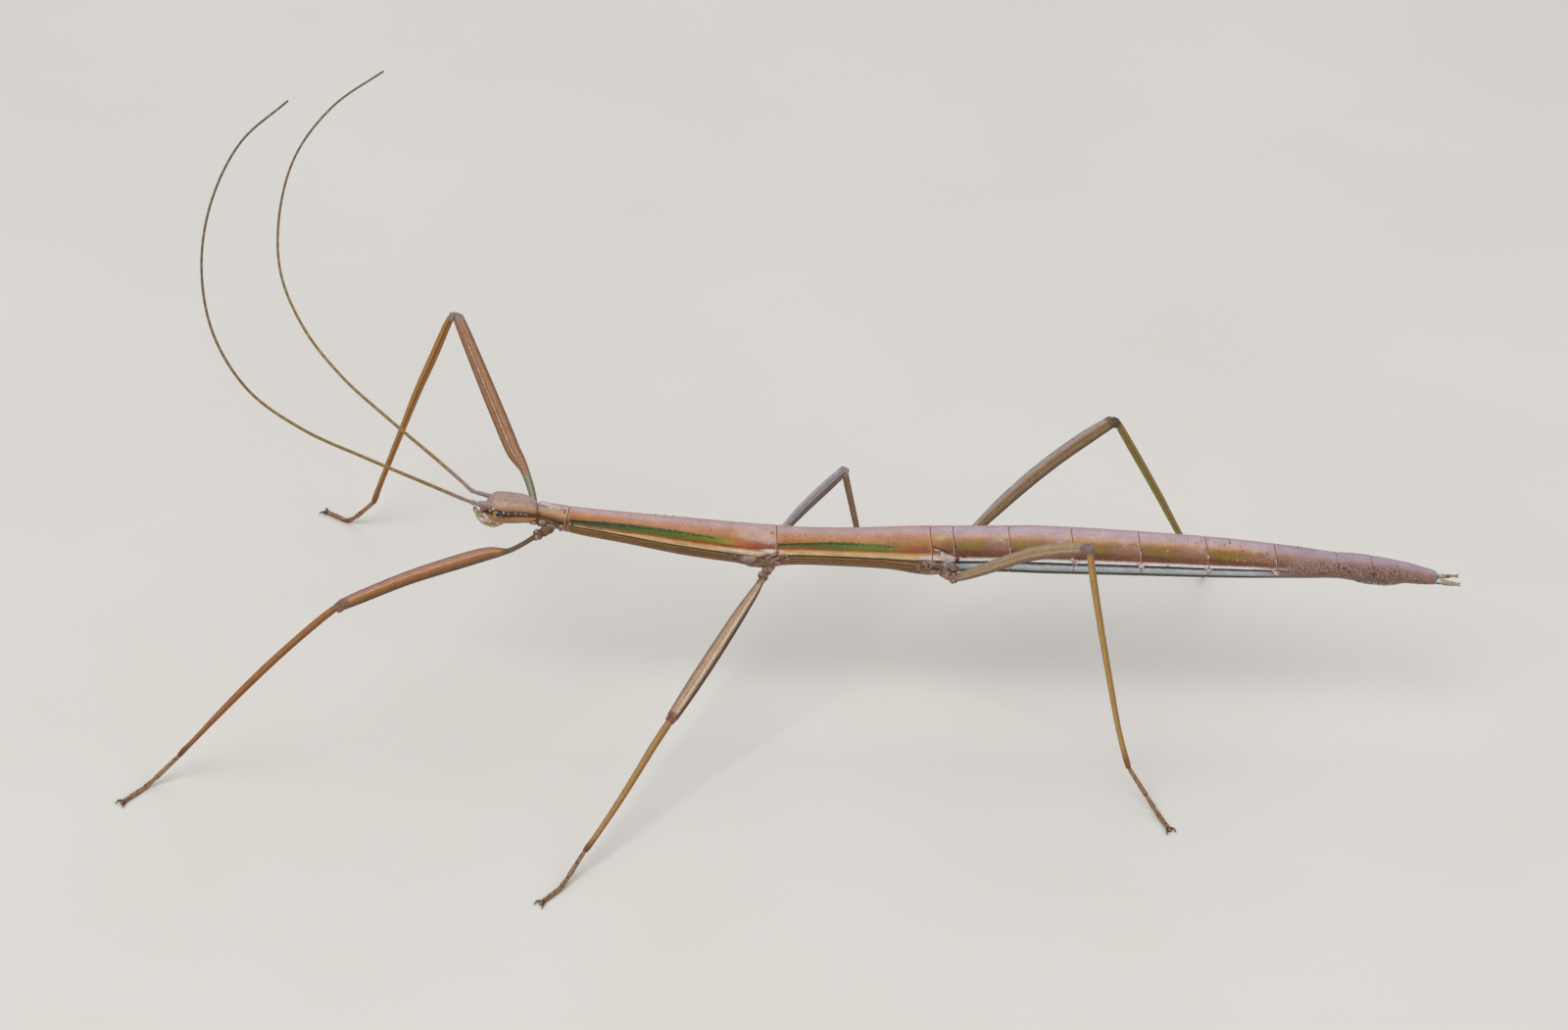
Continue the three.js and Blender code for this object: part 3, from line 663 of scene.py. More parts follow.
legPairs = {  # where each pair leaves the body, its hip, its coxa's tint, and small plates round its root:
    # place along the body, degrees down, half length, height and thickness, twist, how dark the middle
    # is, and the tint; a tint is -1 for olive brown, 0 for pinkish, 1 for whitish
    "front": {
        "root": (-19.2, 0.42, 0.42), "hip": (-20.5, 1.1, 1.55), "tint": -0.9,
        "plates": [
            (-20.85, 128, 0.3, 0.26, 0.22, 0, 0, 0), (-20.1, 110, 0.26, 0.3, 0.26, 25, 0, 0.2),
            (-20.0, 140, 0.3, 0.26, 0.24, -15, 0, -0.3), (-19.35, 121, 0.5, 0.2, 0.22, 35, 0, -0.2),
            (-18.55, 112, 0.26, 0.36, 0.2, 8, 0.6, -0.1), (-18.1, 118, 0.16, 0.2, 0.16, 0, 0, -0.2),
        ],
    },
    "middle": {
        "root": (-0.9, 0.85, 0.95), "hip": (-1.65, 1.8, 2.2), "tint": -0.45,
        "plates": [
            (-2.9, 106, 0.72, 0.36, 0.1, 6, 0, 0.3), (-2.3, 126, 0.62, 0.3, 0.14, -14, 0, -0.4),
            (-1.55, 108, 0.36, 0.26, 0.16, 20, 0, -0.6), (-1.0, 92, 0.9, 0.14, 0.17, -36, 0, -0.3),
            (-0.75, 105, 0.7, 0.16, 0.2, -40, 0, -0.4), (0.12, 93, 0.27, 0.26, 0.2, 0, 0.7, -0.5),
            (-0.5, 120, 0.42, 0.4, 0.24, -40, 0, -0.4), (0.4, 106, 0.26, 0.18, 0.1, -20, 0, -0.3),
        ],
    },
    "hind": {
        "root": (13.2, 1.2, 1.05), "hip": (14.35, 2.05, 1.62), "tint": -0.5,
        "plates": [
            (12.2, 96, 0.66, 0.3, 0.12, 8, 0, -0.3), (12.5, 122, 0.8, 0.38, 0.16, -12, 0, -0.2),
            (13.55, 79, 0.84, 0.3, 0.1, 14, 0, 0.6), (13.9, 107, 0.36, 0.32, 0.24, 24, 0, -0.4),
            (14.45, 128, 0.36, 0.3, 0.24, -20, 0, 0.1), (13.4, 140, 0.26, 0.22, 0.2, -30, 0, 0.8),
            (14.5, 85, 0.22, 0.19, 0.14, 0, 0.7, -0.5), (13.2, 104, 0.34, 0.12, 0.14, 30, 0, -0.7),
            (14.3, 116, 0.42, 0.4, 0.42, -10, 0, -0.5),
        ],
    },
}
hipShape = {
    "coxa": [  # place along it and half thickness
        (0, 0.1), (0.08, 0.34), (0.2, 0.46), (0.34, 0.49), (0.5, 0.45), (0.62, 0.42), (0.68, 0.33),
        (0.76, 0.42), (0.88, 0.42), (1, 0.1),
    ],
    "folds": [(0.36, 0.018), (0.68, 0.022), (0.97, 0.04)],  # place and half width
    "lobe": (0.3, 0.24, 0.3),
}
kneeLobes = [  # side, distance behind the knee and half sizes: two hold the shin, the third covers it
    (-1, 0.16, (0.4, 0.15, 0.38)), (1, 0.16, (0.4, 0.15, 0.38)), (0, 0.02, (0.34, 0.3, 0.3)),
]
foot = {  # half thickness, where its five joints end as parts of its length, and its small parts
    "radius": 0.2, "joints": [0.0, 0.44, 0.62, 0.76, 0.87, 1.0],
    "pad": (0.26, 0.24, 0.15), "jointSole": (0.2, 0.14, 0.1),
    "clawReach": 0.62, "clawSpread": 0.34, "clawRadius": 0.1,
}
limbShapes = {  # sides, rings, reach of the rounded ends, degrees of the ridges and their height
    "femur": (48, 190, 0.4, (-150, -90, -22, 22, 90, 150), 0.06),
    "tibia": (40, 150, 0.3, (-140, -62, 0, 62, 140), 0.08),
}
legs = {  # knee, ankle, where the foot meets the floor and its toe; for both lengths of the leg its rows of
    # place, bow aside and half thickness, and its colours from one edge to the other; the colour and reach
    # of the thin base, the colours at the knee and the foot end, and a row of pale dots or dark ticks
    # the colours across each length are partly painted light and shade, as the leg is lit seen from the
    # facing side: darker at the shaded edges, paler where it faces the light
    "left_front": {
        "knee": (-36.1, -17.0, 19.9), "ankle": (-49.6, -13.9, 2.15), "sole": (-52.1, -15.5, 0.45),
        "toe": (-53.8, -17.5),
        "femur": [
            (0, 0, 0.2), (0.05, -0.21, 0.18), (0.1, -0.35, 0.18), (0.15, -0.43, 0.19), (0.175, -0.38, 0.24),
            (0.2, -0.27, 0.34), (0.225, -0.16, 0.43), (0.25, -0.07, 0.48), (0.3, 0.03, 0.54),
            (0.4, 0.14, 0.56), (0.5, 0.23, 0.55), (0.65, 0.31, 0.52), (0.8, 0.25, 0.5), (0.9, 0.17, 0.48),
            (1, 0.08, 0.4),
        ],
        "tibia": [
            (0, 0.1, 0.28), (0.1, 0.26, 0.3), (0.3, 0.41, 0.3), (0.5, 0.42, 0.3), (0.7, 0.3, 0.26),
            (0.9, 0.11, 0.2), (0.96, 0.07, 0.22), (1, 0, 0.18),
        ],
        "femurBands": [
            (0, "4f321e"), (0.14, "7d4c26"), (0.38, "92602f"), (0.53, "a06c46"), (0.6, "c6a182"),
            (0.68, "ac7c5c"), (0.86, "a8745e"), (1, "88655a"),
        ],
        "tibiaBands": [(0, "6e4322"), (0.35, "8e572a"), (0.6, "a46d39"), (1, "95643b")],
        "base": ("68543a", 0.2), "kneeColour": "785646", "footColour": "66402a",
    },
    "left_middle": {
        "knee": (-9.1, -13.2, 6.5), "ankle": (-15.95, -24.8, 1.6), "sole": (-17.75, -27.75, 0.4),
        "toe": (-19.15, -29.5),
        "femur": [
            (0, -0.05, 0.24), (0.05, -0.1, 0.28), (0.1, -0.12, 0.35), (0.2, -0.09, 0.44), (0.3, -0.08, 0.5),
            (0.55, -0.07, 0.55), (0.8, -0.03, 0.53), (1, 0, 0.43),
        ],
        "tibia": [
            (0, 0, 0.28), (0.05, 0, 0.31), (0.2, 0, 0.31), (0.4, -0.08, 0.29), (0.65, -0.14, 0.26),
            (0.9, -0.08, 0.23), (0.96, -0.03, 0.25), (1, 0, 0.2),
        ],
        "femurBands": [
            (0, "3a261c"), (0.12, "68482f"), (0.24, "a08468"), (0.4, "c4b094"), (0.5, "b8a084"),
            (0.58, "a27c68"), (0.7, "b2987e"), (0.9, "a88870"), (1, "8a6a56"),
        ],
        "tibiaBands": [(0, "6e4828"), (0.4, "a07842"), (0.7, "a87e4a"), (1, "8a6238")],
        "base": ("8a7460", 0.05), "kneeColour": "70402e", "footColour": "663c22",
    },
    "left_hind": {
        "knee": (24.35, -12.65, 24.3), "ankle": (29.0, -13.85, 3.0), "sole": (31.45, -16.35, 0.45),
        "toe": (32.2, -18.1),
        "femur": [
            (0, 0.02, 0.27), (0.05, 0, 0.33), (0.1, -0.05, 0.38), (0.2, -0.16, 0.43), (0.35, -0.35, 0.47),
            (0.5, -0.53, 0.49), (0.6, -0.57, 0.52), (0.8, -0.41, 0.54), (1, 0.03, 0.42),
        ],
        "tibia": [
            (0, 0.04, 0.28), (0.1, 0.14, 0.3), (0.3, 0.24, 0.28), (0.6, 0.29, 0.25), (0.8, 0.28, 0.23),
            (0.9, 0.18, 0.23), (0.96, 0.08, 0.25), (1, 0, 0.2),
        ],
        "femurBands": [
            (0, "9a8470"), (0.2, "a68c6e"), (0.5, "a2845f"), (0.6, "b2967a"), (0.75, "96785a"), (1, "6f553e"),
        ],
        "tibiaBands": [(0, "8a6534"), (0.35, "a07838"), (0.6, "b48e4e"), (1, "a08046")],
        "base": ("94785c", 0.05), "kneeColour": "6c5a5a", "footColour": "7e4f2c",
    },
    "right_front": {
        "knee": (-28.25, 20.8, 23.8), "ankle": (-35.35, 23.0, 2.5), "sole": (-37.6, 23.5, 0.4),
        "toe": (-39.5, 24.8),
        "femur": [
            (0, 0, 0.24), (0.05, 0.2, 0.24), (0.1, 0.39, 0.26), (0.15, 0.53, 0.28), (0.2, 0.59, 0.31),
            (0.245, 0.59, 0.37), (0.27, 0.52, 0.46), (0.3, 0.42, 0.53), (0.33, 0.34, 0.57), (0.4, 0.33, 0.6),
            (0.6, 0.31, 0.59), (0.8, 0.3, 0.53), (0.9, 0.3, 0.49), (1, 0.28, 0.42),
        ],
        "tibia": [
            (0, 0.1, 0.28), (0.05, 0.18, 0.33), (0.2, 0.2, 0.38), (0.4, 0.28, 0.35), (0.6, 0.22, 0.29),
            (0.9, 0.1, 0.24), (0.96, 0.04, 0.26), (1, 0, 0.2),
        ],
        "femurBands": [
            (0, "6e4626"), (0.08, "9a683e"), (0.26, "a87244"), (0.34, "6e4a32"), (0.42, "a68a78"),
            (0.5, "7a5236"), (0.62, "a5744c"), (0.84, "9c7250"), (1, "6e4f38"),
        ],
        "tibiaBands": [(0, "95622c"), (0.35, "a0672a"), (0.46, "432812"), (0.58, "b07a34"), (1, "9a7038")],
        "base": ("868c70", 0.2), "kneeColour": "8a7a72", "footColour": "7a4c2a", "dots": 0.42,
    },
    "right_middle": {
        "knee": (5.6, 14.35, 13.1), "ankle": (7.35, 22.25, 1.5), "sole": (9.6, 22.9, 0.4),
        "toe": (12.5, 23.4),
        "femur": [
            (0, 0, 0.24), (0.1, -0.07, 0.27), (0.3, -0.18, 0.34), (0.5, -0.24, 0.42), (0.8, -0.14, 0.45),
            (1, -0.03, 0.38),
        ],
        "tibia": [(0, 0, 0.27), (0.1, 0.03, 0.29), (0.6, 0.01, 0.27), (0.95, -0.01, 0.25), (1, 0, 0.2)],
        "femurBands": [
            (0, "a8a2a4"), (0.25, "8e888c"), (0.45, "7e7678"), (0.52, "a39a98"), (0.62, "544440"),
            (0.75, "80604c"), (1, "5a4032"),
        ],
        "tibiaBands": [(0, "6a4a24"), (0.4, "8a5e2c"), (0.7, "7c5424"), (1, "5e4020")],
        "base": ("8a847c", 0.05), "kneeColour": "8a7f7c", "footColour": "6a4424",
    },
    "right_hind": {
        "knee": (28.15, 10.55, 21.35), "ankle": (37.1, 16.25, 2.3), "sole": (37.9, 18.6, 0.45),
        "toe": (38.7, 21.45),
        "femur": [
            (0, 0, 0.26), (0.1, -0.19, 0.34), (0.2, -0.37, 0.42), (0.3, -0.53, 0.5), (0.4, -0.65, 0.54),
            (0.55, -0.73, 0.57), (0.7, -0.67, 0.57), (0.85, -0.48, 0.57), (1, -0.18, 0.47),
        ],
        "tibia": [
            (0, -0.05, 0.28), (0.05, -0.05, 0.32), (0.2, -0.07, 0.34), (0.5, -0.1, 0.32), (0.7, -0.04, 0.28),
            (0.9, -0.02, 0.24), (0.96, 0.01, 0.26), (1, 0, 0.2),
        ],
        "femurBands": [
            (0, "948a84"), (0.2, "9c9088"), (0.32, "8a7258"), (0.38, "a56f36"), (0.46, "6e5540"),
            (0.7, "8a7252"), (0.9, "84643c"), (1, "4c3826"),
        ],
        "tibiaBands": [(0, "7c5a30"), (0.3, "a07c40"), (0.42, "5e4422"), (0.6, "8f7a34"), (1, "7f8030")],
        "base": ("6e5c48", 0.04), "kneeColour": "5a4436", "footColour": "7c5a30", "ticks": 0.58,
    },
}


def ridged(corners, flat, rise):
    # factor on a limb's radius: flat facets between the corners, a low crest on each
    def factor(turn, t):
        nearby = sorted((turn - corner) % 360 for corner in corners)
        before, after = nearby[0], 360 - nearby[-1]
        crest = bell(min(before, after), 0, 6)
        return 1 - flat * math.sin(math.pi * before / (before + after)) ** 2 + rise * crest

    return factor


def makeLimbMaterial(name, bandsAcross, leg, isFemur):
    # ridged leg cuticle with a fibrous grain along the limb and fine dark pores; its colours across the limb
    # are partly painted light and shade, darker at the shaded edges and paler where it faces the light, over
    # its own facet colours
    material, tree, (part, across, run) = newMaterial(name, "part", "across", "run")
    drift = grain(tree, 0.8, 0, 1, 4, -0.035, 0.035)
    level = addNode(tree, "Math", {0: across, 1: drift}, operation="ADD")
    colour = addNode(tree, "ValToRGB", {0: level}, stops=bandsAcross)
    knee = leg["kneeColour"]
    if isFemur:
        baseColour, reach = leg["base"]
        middle = window(tree, across, 0.2, 0.8, 0.1)
        edges = addNode(tree, "Math", {0: 0.8, 1: middle}, operation="SUBTRACT")
        colour = paint(
            tree, colour,
            (baseColour, (part, -1, reach, 0.025)),
            # painted shade along both edges of the thin base
            ("5a4a30", edges, (part, -1, reach, 0.03)),
            (knee, (part, 0.958, 2, 0.012), 0.85),
        )
        if "dots" in leg:
            row = (across, leg["dots"] - 0.05, leg["dots"] + 0.05, 0.02)
            colour = paint(tree, colour, ("b4a69e", row, (0.2, 0.5, 0.62), (part, 0.2, 0.95, 0.02)))
        if "ticks" in leg:
            row = (across, leg["ticks"] - 0.09, leg["ticks"] + 0.09, 0.03)
            slant = addNode(tree, "Math", {0: across, 1: 22.0}, operation="MULTIPLY")
            beat = addNode(tree, "Math", {0: run, 1: 22.0, 2: slant}, operation="MULTIPLY_ADD")
            wave = addNode(tree, "Math", {0: beat}, operation="SINE")
            colour = paint(tree, colour, ("3c2c20", row, (wave, 0.3, 2, 0.45), (0.5, 0.3, 0.6)))
    else:
        ankle = (leg["footColour"], (part, 0.93, 2, 0.06))
        colour = paint(tree, colour, (knee, (part, -1, 0.02, 0.012), 0.7), ankle)
    tone = fibres(tree, run, across, (1.1, 16, 1), 5, 0.72, 1.2)
    colour = paint(tree, colour, (tone, 1.0), ((0.13, 0.3, 0.7, 3, 0.82, 1.15), 1.0), blend="MULTIPLY")
    colour = paint(tree, colour, ("4c3020", (0.15, 0.64, 0.7), 0.8))
    finish(tree, colour, 0.12, 0.03, (0.4, 0.6))
    return material


def makePlateMaterial(name, pale, warm, dark, fineness=0.35, roughness=(0.38, 0.55)):
    # small hard plates: pale and waxy on top, dark in the folds between them; that dark is painted shade
    # round the foot of each lump and the real dark joints of the jointed pieces
    material, tree, (crest, tint) = newMaterial(name, "crest", "tint")
    cloud = grain(tree, fineness, 0, 1, 5)
    stops = [(0.28, dark), (0.4, warm), (0.56, pale), (0.74, warm)]
    colour = addNode(tree, "ValToRGB", {0: cloud}, stops=stops)
    tints = ("64492e", (tint, -3, -0.5, 0.5)), ("c6bcb4", (tint, 0.5, 3, 0.5))
    # painted shade round each lump's foot and real dark joints, both from the crest fact
    colour = paint(tree, colour, *tints, (dark, (crest, 0.55, 2, 0.2)))
    colour = paint(tree, colour, ((0.11, 0.3, 0.7, 3, 0.75, 1.2), 1.0), blend="MULTIPLY")
    finish(tree, colour, 0.1, 0.03, roughness)
    return material


plateCuticle = makePlateMaterial("small_plate_cuticle", "ac8c80", "806054", "2e1e18")
footCuticle = makePlateMaterial("foot_cuticle", "94704e", "6f4c34", "3c281e")
clawHorn = makePlateMaterial("dark_claw_horn", "4a3424", "33231a", "1c1410")


def onBody(x, turn, out=0.0):
    # a point on the body and the directions along it, around it and out of it there
    c, s = math.cos(math.radians(turn)), math.sin(math.radians(turn))
    width, depth = (keyed(body["girth"], x, column) + out for column in (1, 2))
    along = Vector((1, 0, 0))
    outward = (bodyPoint(x, -s, c) - bodyPoint(x, 0, 0)).normalized()
    return bodyPoint(x, -s * width, c * depth), along, outward.cross(along), outward


def makeHip(name, pair, sign, hip, knee):
    # the coxa, the two lobes of the trochanter at its end, and the small plates round its root
    root = bodyPoint(pair["root"][0], sign * pair["root"][1], -pair["root"][2])
    middle = root.lerp(hip, 0.5) + Vector((0, sign * 0.12, -0.12))

    def thickness(t):
        return max(keyed(hipShape["coxa"], t), 0.02)

    def uneven(turn, t):
        bumps = noise.noise(Vector((t * 6, turn / 40, sign)))
        return 1 + 0.08 * math.sin(math.radians(turn) * 4 + t * 9) + 0.07 * bumps

    def fold(turn, t):
        deepest = max(bell(t, place, width) for place, width in hipShape["folds"])
        return 0.66 * deepest + 0.5 * bell(turn % 90, 45 + 14 * t, 5)

    points = [root, middle, hip, hip + (hip - middle).normalized() * 0.2]
    coxa = rod("coxa", points, thickness, 40, 60, relief=uneven, crest=fold)
    pieces = [store(coxa, tint=pair["tint"])]
    along = (knee - hip).normalized()
    across = along.cross(facing).normalized()
    for hand in (-1, 1):
        spot = hip - along * (0.02 + 0.1 * hand) + across * (0.2 * hand) + facing * 0.12
        lobe = lump(spot, hipShape["lobe"], (along, across, across.cross(along)), 0.05, hand, 0.85)
        pieces.append(store(lobe, tint=-0.1))
    for k, (x, turn, length, height, thick, twist, hollow, tint) in enumerate(pair["plates"]):
        spot, ahead, around, out = onBody(x, -sign * turn, breastBulge(x, turn) - 0.02)
        around *= -sign
        c, s = math.cos(math.radians(twist)), math.sin(math.radians(twist))
        basis = (ahead * c - around * s, around * c + ahead * s, out)
        square, rise = (0.95, 1) if hollow else (0.78, 0.62)
        plate = lump(spot, (length, height, thick * rise), basis, 0.13, k * 3.1, square, hollow)
        pieces.append(store(plate, tint=tint))
    return joined(f"coxa_plates_{name}", pieces)


def makeLimb(name, start, end, rows, shape):
    # one length of a leg, and how long it is along its bowed middle line
    count, rings, rounding, corners, rise = shape
    aside = (end - start).normalized().cross(facing).normalized()
    route = [start.lerp(end, t) + aside * bow for t, bow, half in rows]
    length = lengthOf(route)

    def thickness(t):
        return keyed(rows, t, 2) * roundedEnds(t, length, rounding) + 0.01

    return rod(name, route, thickness, count, rings, relief=ridged(corners, 0.1, rise)), length


def makeLeg(name, leg):
    side, pairName = name.split("_")
    sign, pair = signs[side], legPairs[pairName]
    hip = bodyPoint(pair["hip"][0], sign * pair["hip"][1], -pair["hip"][2])
    knee, ankle, sole = Vector(leg["knee"]), Vector(leg["ankle"]), Vector(leg["sole"])
    toe = Vector((*leg["toe"], 0.2))
    along = (knee - hip).normalized()
    bend = (knee - hip).cross(ankle - knee).normalized()  # the leg moves in the plane square to this

    femur, length = makeLimb("femur", hip, knee, leg["femur"], limbShapes["femur"])
    parts = [femur]
    for end, back, half in kneeLobes:
        spot = knee - along * back + bend * (0.27 * end)
        lobe = lump(spot, half, (along, bend, bend.cross(along)), 0.03, end)
        parts.append(store(lobe, part=0.985, across=0.5, run=length))
    femur = joined(f"femur_skin_{name}", parts)
    cuticle = makeLimbMaterial(f"femur_cuticle_{name}", leg["femurBands"], leg, True)
    settle(femur, cuticle, "leg_cuticle", f"femur_{name}")

    tibia = makeLimb(f"tibia_skin_{name}", knee, ankle, leg["tibia"], limbShapes["tibia"])[0]
    cuticle = makeLimbMaterial(f"tibia_cuticle_{name}", leg["tibiaBands"], leg, False)
    settle(tibia, cuticle, "leg_cuticle", f"tibia_{name}")
    settle(makeHip(name, pair, sign, hip, knee), plateCuticle, "leg_cuticle", f"coxa_{name}")
    makeFoot(name, ankle + (knee - ankle).normalized() * 0.16, sole, toe)


def makeFoot(name, ankle, sole, toe):
    # five joints, the first the longest, each swollen at its far end; then a pad between two claws
    joints, pad = foot["joints"], foot["pad"]
    middle = sole.lerp(toe, 0.5)
    route = [ankle, Vector((sole.x, sole.y, 0.3)), Vector((middle.x, middle.y, 0.23)), toe]
    length = lengthOf(route)

    def thickness(t):
        start = max(j for j in joints[:-1] if j <= t + 1e-6)
        end = min(j for j in joints[1:] if j > start)
        part = (t - start) / (end - start)
        swell = 0.86 + 0.2 * part**2 - 0.32 * bell(part, 1.0, 0.05) - 0.24 * bell(part, 0.0, 0.05)
        return max(foot["radius"] * swell, 0.05) * roundedEnds(t, length, 0.16) + 0.005

    def fold(turn, t):
        return 0.5 * max(bell(t, j, 0.012) for j in joints[1:-1])

    ahead = Vector((toe.x - sole.x, toe.y - sole.y, 0)).normalized()
    across = Vector((-ahead.y, ahead.x, 0))
    basis = (ahead, across, upward)
    pads = [
        rod("foot", route, thickness, 24, 120, upward, crest=fold),
        lump(toe + ahead * 0.14 + upward * (pad[2] - toe.z), pad, basis, 0.02),
    ]
    for joint in joints[2:-1]:  # a small sole under each joint
        spot = sole.lerp(toe, (joint - joints[1]) / (1 - joints[1]))
        half = foot["jointSole"]
        pads.append(lump(Vector((spot.x, spot.y, half[2])) - ahead * 0.1, half, basis, 0.02))
    settle(joined(f"foot_joints_{name}", pads), footCuticle, "foot_cuticle", f"tarsus_{name}")

    def clawRadius(t):
        return foot["clawRadius"] * (1 - t) ** 0.7 + 0.012

    claws = []
    for hand in (-1, 1):
        base = toe + across * (0.08 * hand) + ahead * 0.02
        tip = base + ahead * foot["clawReach"] + across * (foot["clawSpread"] * hand)
        tip.z = 0.05
        high = base.lerp(tip, 0.5) + upward * 0.16 + across * (0.06 * hand)
        claws.append(rod("claw", [base, high, tip], clawRadius, 14, 18, upward))
    settle(joined(f"claws_{name}", claws), clawHorn, "foot_cuticle")


for legName, leg in legs.items():
    makeLeg(legName, leg)
print("legs done")


antenna = {  # where its first two joints end, half thickness at base and tip, length of each later joint
    "scape": 1.5, "pedicel": 2.0, "base": 0.165, "tip": 0.085, "joint": 0.92, "sides": 16, "rings": 640,
}
scapeRows = [(0, 0.2), (0.15, 0.26), (0.45, 0.3), (0.8, 0.25), (0.94, 0.19), (1, 0.14)]
antennaFlatness = {"left": 0, "right": 0.38}  # the right scape is seen edge on
antennaRoutes = {
    "left": [
        (-24.15, -0.68, 18.82), (-24.9, -0.74, 19.05), (-25.64, -0.8, 19.21), (-26.43, -0.85, 19.55),
        (-28.32, -0.9, 20.48), (-29.6, -0.9, 21.1), (-34.7, -1.1, 23.7), (-39.8, -1.3, 26.5),
        (-44.2, -1.1, 30.1), (-47.0, -0.2, 34.9), (-47.9, 1.0, 40.4), (-47.1, 2.1, 45.9), (-44.7, 2.9, 51.1),
        (-40.8, 2.8, 55.2),
    ],
    "right": [
        (-24.3, 0.72, 18.86), (-25.14, 1.0, 18.93), (-25.96, 1.35, 18.98), (-26.75, 1.85, 19.45),
        (-29.0, 3.6, 20.5), (-33.2, 6.9, 22.3), (-37.2, 10.3, 24.1), (-40.6, 14.1, 26.4), (-42.8, 18.3, 29.3),
        (-43.1, 22.8, 32.6), (-41.9, 27.2, 35.7), (-38.9, 31.2, 38.2), (-34.8, 34.5, 39.8),
    ],
}


def antennaRadius(run, length):
    # thick flattened first joint, a short ring, then a thread of many joints
    scape, pedicel, base, tip = (antenna[key] for key in ("scape", "pedicel", "base", "tip"))
    if run < scape:
        return keyed(scapeRows, run / scape)
    if run < pedicel:
        return 0.15 + 0.06 * math.sin(math.pi * (run - scape) / (pedicel - scape))
    part = (run - pedicel) / antenna["joint"] % 1
    taper = base + (tip - base) * (run / length) ** 0.6
    return taper * (0.97 + 0.1 * part**3 - 0.08 * bell(part, 0, 0.05) - 0.08 * bell(part, 1, 0.05))


def makeAntennaMaterial():
    # thread-like feeler: lilac at its base, then olive gold, with a faint darker ring at each joint
    material, tree, (run, across) = newMaterial("feeler_cuticle", "run", "across")
    reach = addNode(tree, "MapRange", {0: run, 1: 0, 2: 52})
    stops = [
        (0, "937f7a"), (0.045, "8c7772"), (0.085, "84684c"), (0.12, "806634"), (0.35, "846a3a"),
        (0.6, "705838"), (0.85, "644f38"), (1, "6c5540"),
    ]
    beat = addNode(tree, "Math", {0: run, 1: antenna["pedicel"]}, operation="SUBTRACT")
    step = addNode(tree, "Math", {0: beat, 1: antenna["joint"]}, operation="DIVIDE")
    part = addNode(tree, "Math", {0: step}, operation="FRACT")
    thread = window(tree, run, 2.0, 99, 0.1)
    colour = paint(
        tree, addNode(tree, "ValToRGB", {0: reach}, stops=stops),
        ("4e3826", (part, -0.1, 0.09, 0.05), thread, 0.4),
        ("b39a68", (part, 0.55, 0.92, 0.15), thread, (1.5, 0.3, 0.6, 3, 0, 0.35)),
        ("4a3a38", (across, 0.16, 0.24, 0.05), (run, 0.1, 1.5, 0.1), 0.8),
        ("5c464c", (across, 0.44, 0.5, 0.04), (run, 0.1, 4, 0.6), 0.7),
    )
    colour = paint(tree, colour, ((0.13, 0.3, 0.7, 3, 0.72, 1.2), 1.0), blend="MULTIPLY")
    finish(tree, colour, 0.1, 0.02, (0.42, 0.6))
    return material


def makeAntenna(name, route, flatness, material):
    points = [Vector(p) for p in route]
    length = curvePoints(points, 400)[1]
    feeler = rod(
        f"antenna_thread_{name}", points,
        lambda t: antennaRadius(t * length, length) * roundedEnds(t, length, 0.1) + 0.004,
        antenna["sides"], antenna["rings"],
        relief=lambda turn, t: 1 - flatness * bell(t * length, 0.75, 0.8) * abs(math.sin(math.radians(turn))),
    )
    nodes = [f"antenna_{name}_{third}" for third in ("base", "middle", "tip")]
    settle(feeler, material, "antenna_cuticle", *nodes)


antennaCuticle = makeAntennaMaterial()
for sideName, route in antennaRoutes.items():
    makeAntenna(sideName, route, antennaFlatness[sideName], antennaCuticle)
print("feelers done")


eye = {  # its middle and half sizes, and the middle, tilt and half sizes of its pupil as parts of them
    "forward": 3.25, "side": 1.22, "lift": 0.15, "half": (0.44, 0.42, 0.36),
    "pupil": (0.22, 0.34), "pupilTilt": math.radians(20), "pupilHalf": (0.7, 0.66),
}


def headPoint(forward, side, lift):
    return bodyPoint(-20.5 - forward, side, lift)


def makeEyeMaterial():
    # domed compound eye: a yellow green ring round a black middle, under a clear glossy skin
    material, tree, (spread, pupil) = newMaterial("compound_eye", "spread", "pupil")
    ragged = addNode(tree, "Math", {0: pupil, 1: grain(tree, 0.12, 0, 1, 3, -0.25, 0.25)}, operation="ADD")
    colour = paint(
        tree, linear("b0a040"),
        ("847c30", (0.16, 0.42, 0.6)),
        ("0c0a08", (ragged, -2, 1.0, 0.1)),
        ("2c2418", (spread, 0.93, 3, 0.05)),
    )
    # facets of about 0.03 mm, drawn twice as coarse so that they show
    place = tree.nodes["place"].outputs["Object"]
    facets = addNode(tree, "TexVoronoi", {"Vector": place, "Scale": 1 / (0.06 * mm)})
    bump = addNode(tree, "Bump", {"Strength": 0.35, "Distance": 0.01 * mm, "Height": facets}, invert=True)
    shader = tree.nodes["shader"]
    tree.links.new(bump.outputs[0], shader.inputs["Normal"])
    tree.links.new(colour, shader.inputs["Base Color"])
    for socket, value in (("Roughness", 0.16), ("Coat Weight", 0.8), ("Coat Roughness", 0.05)):
        shader.inputs[socket].default_value = value
    return material


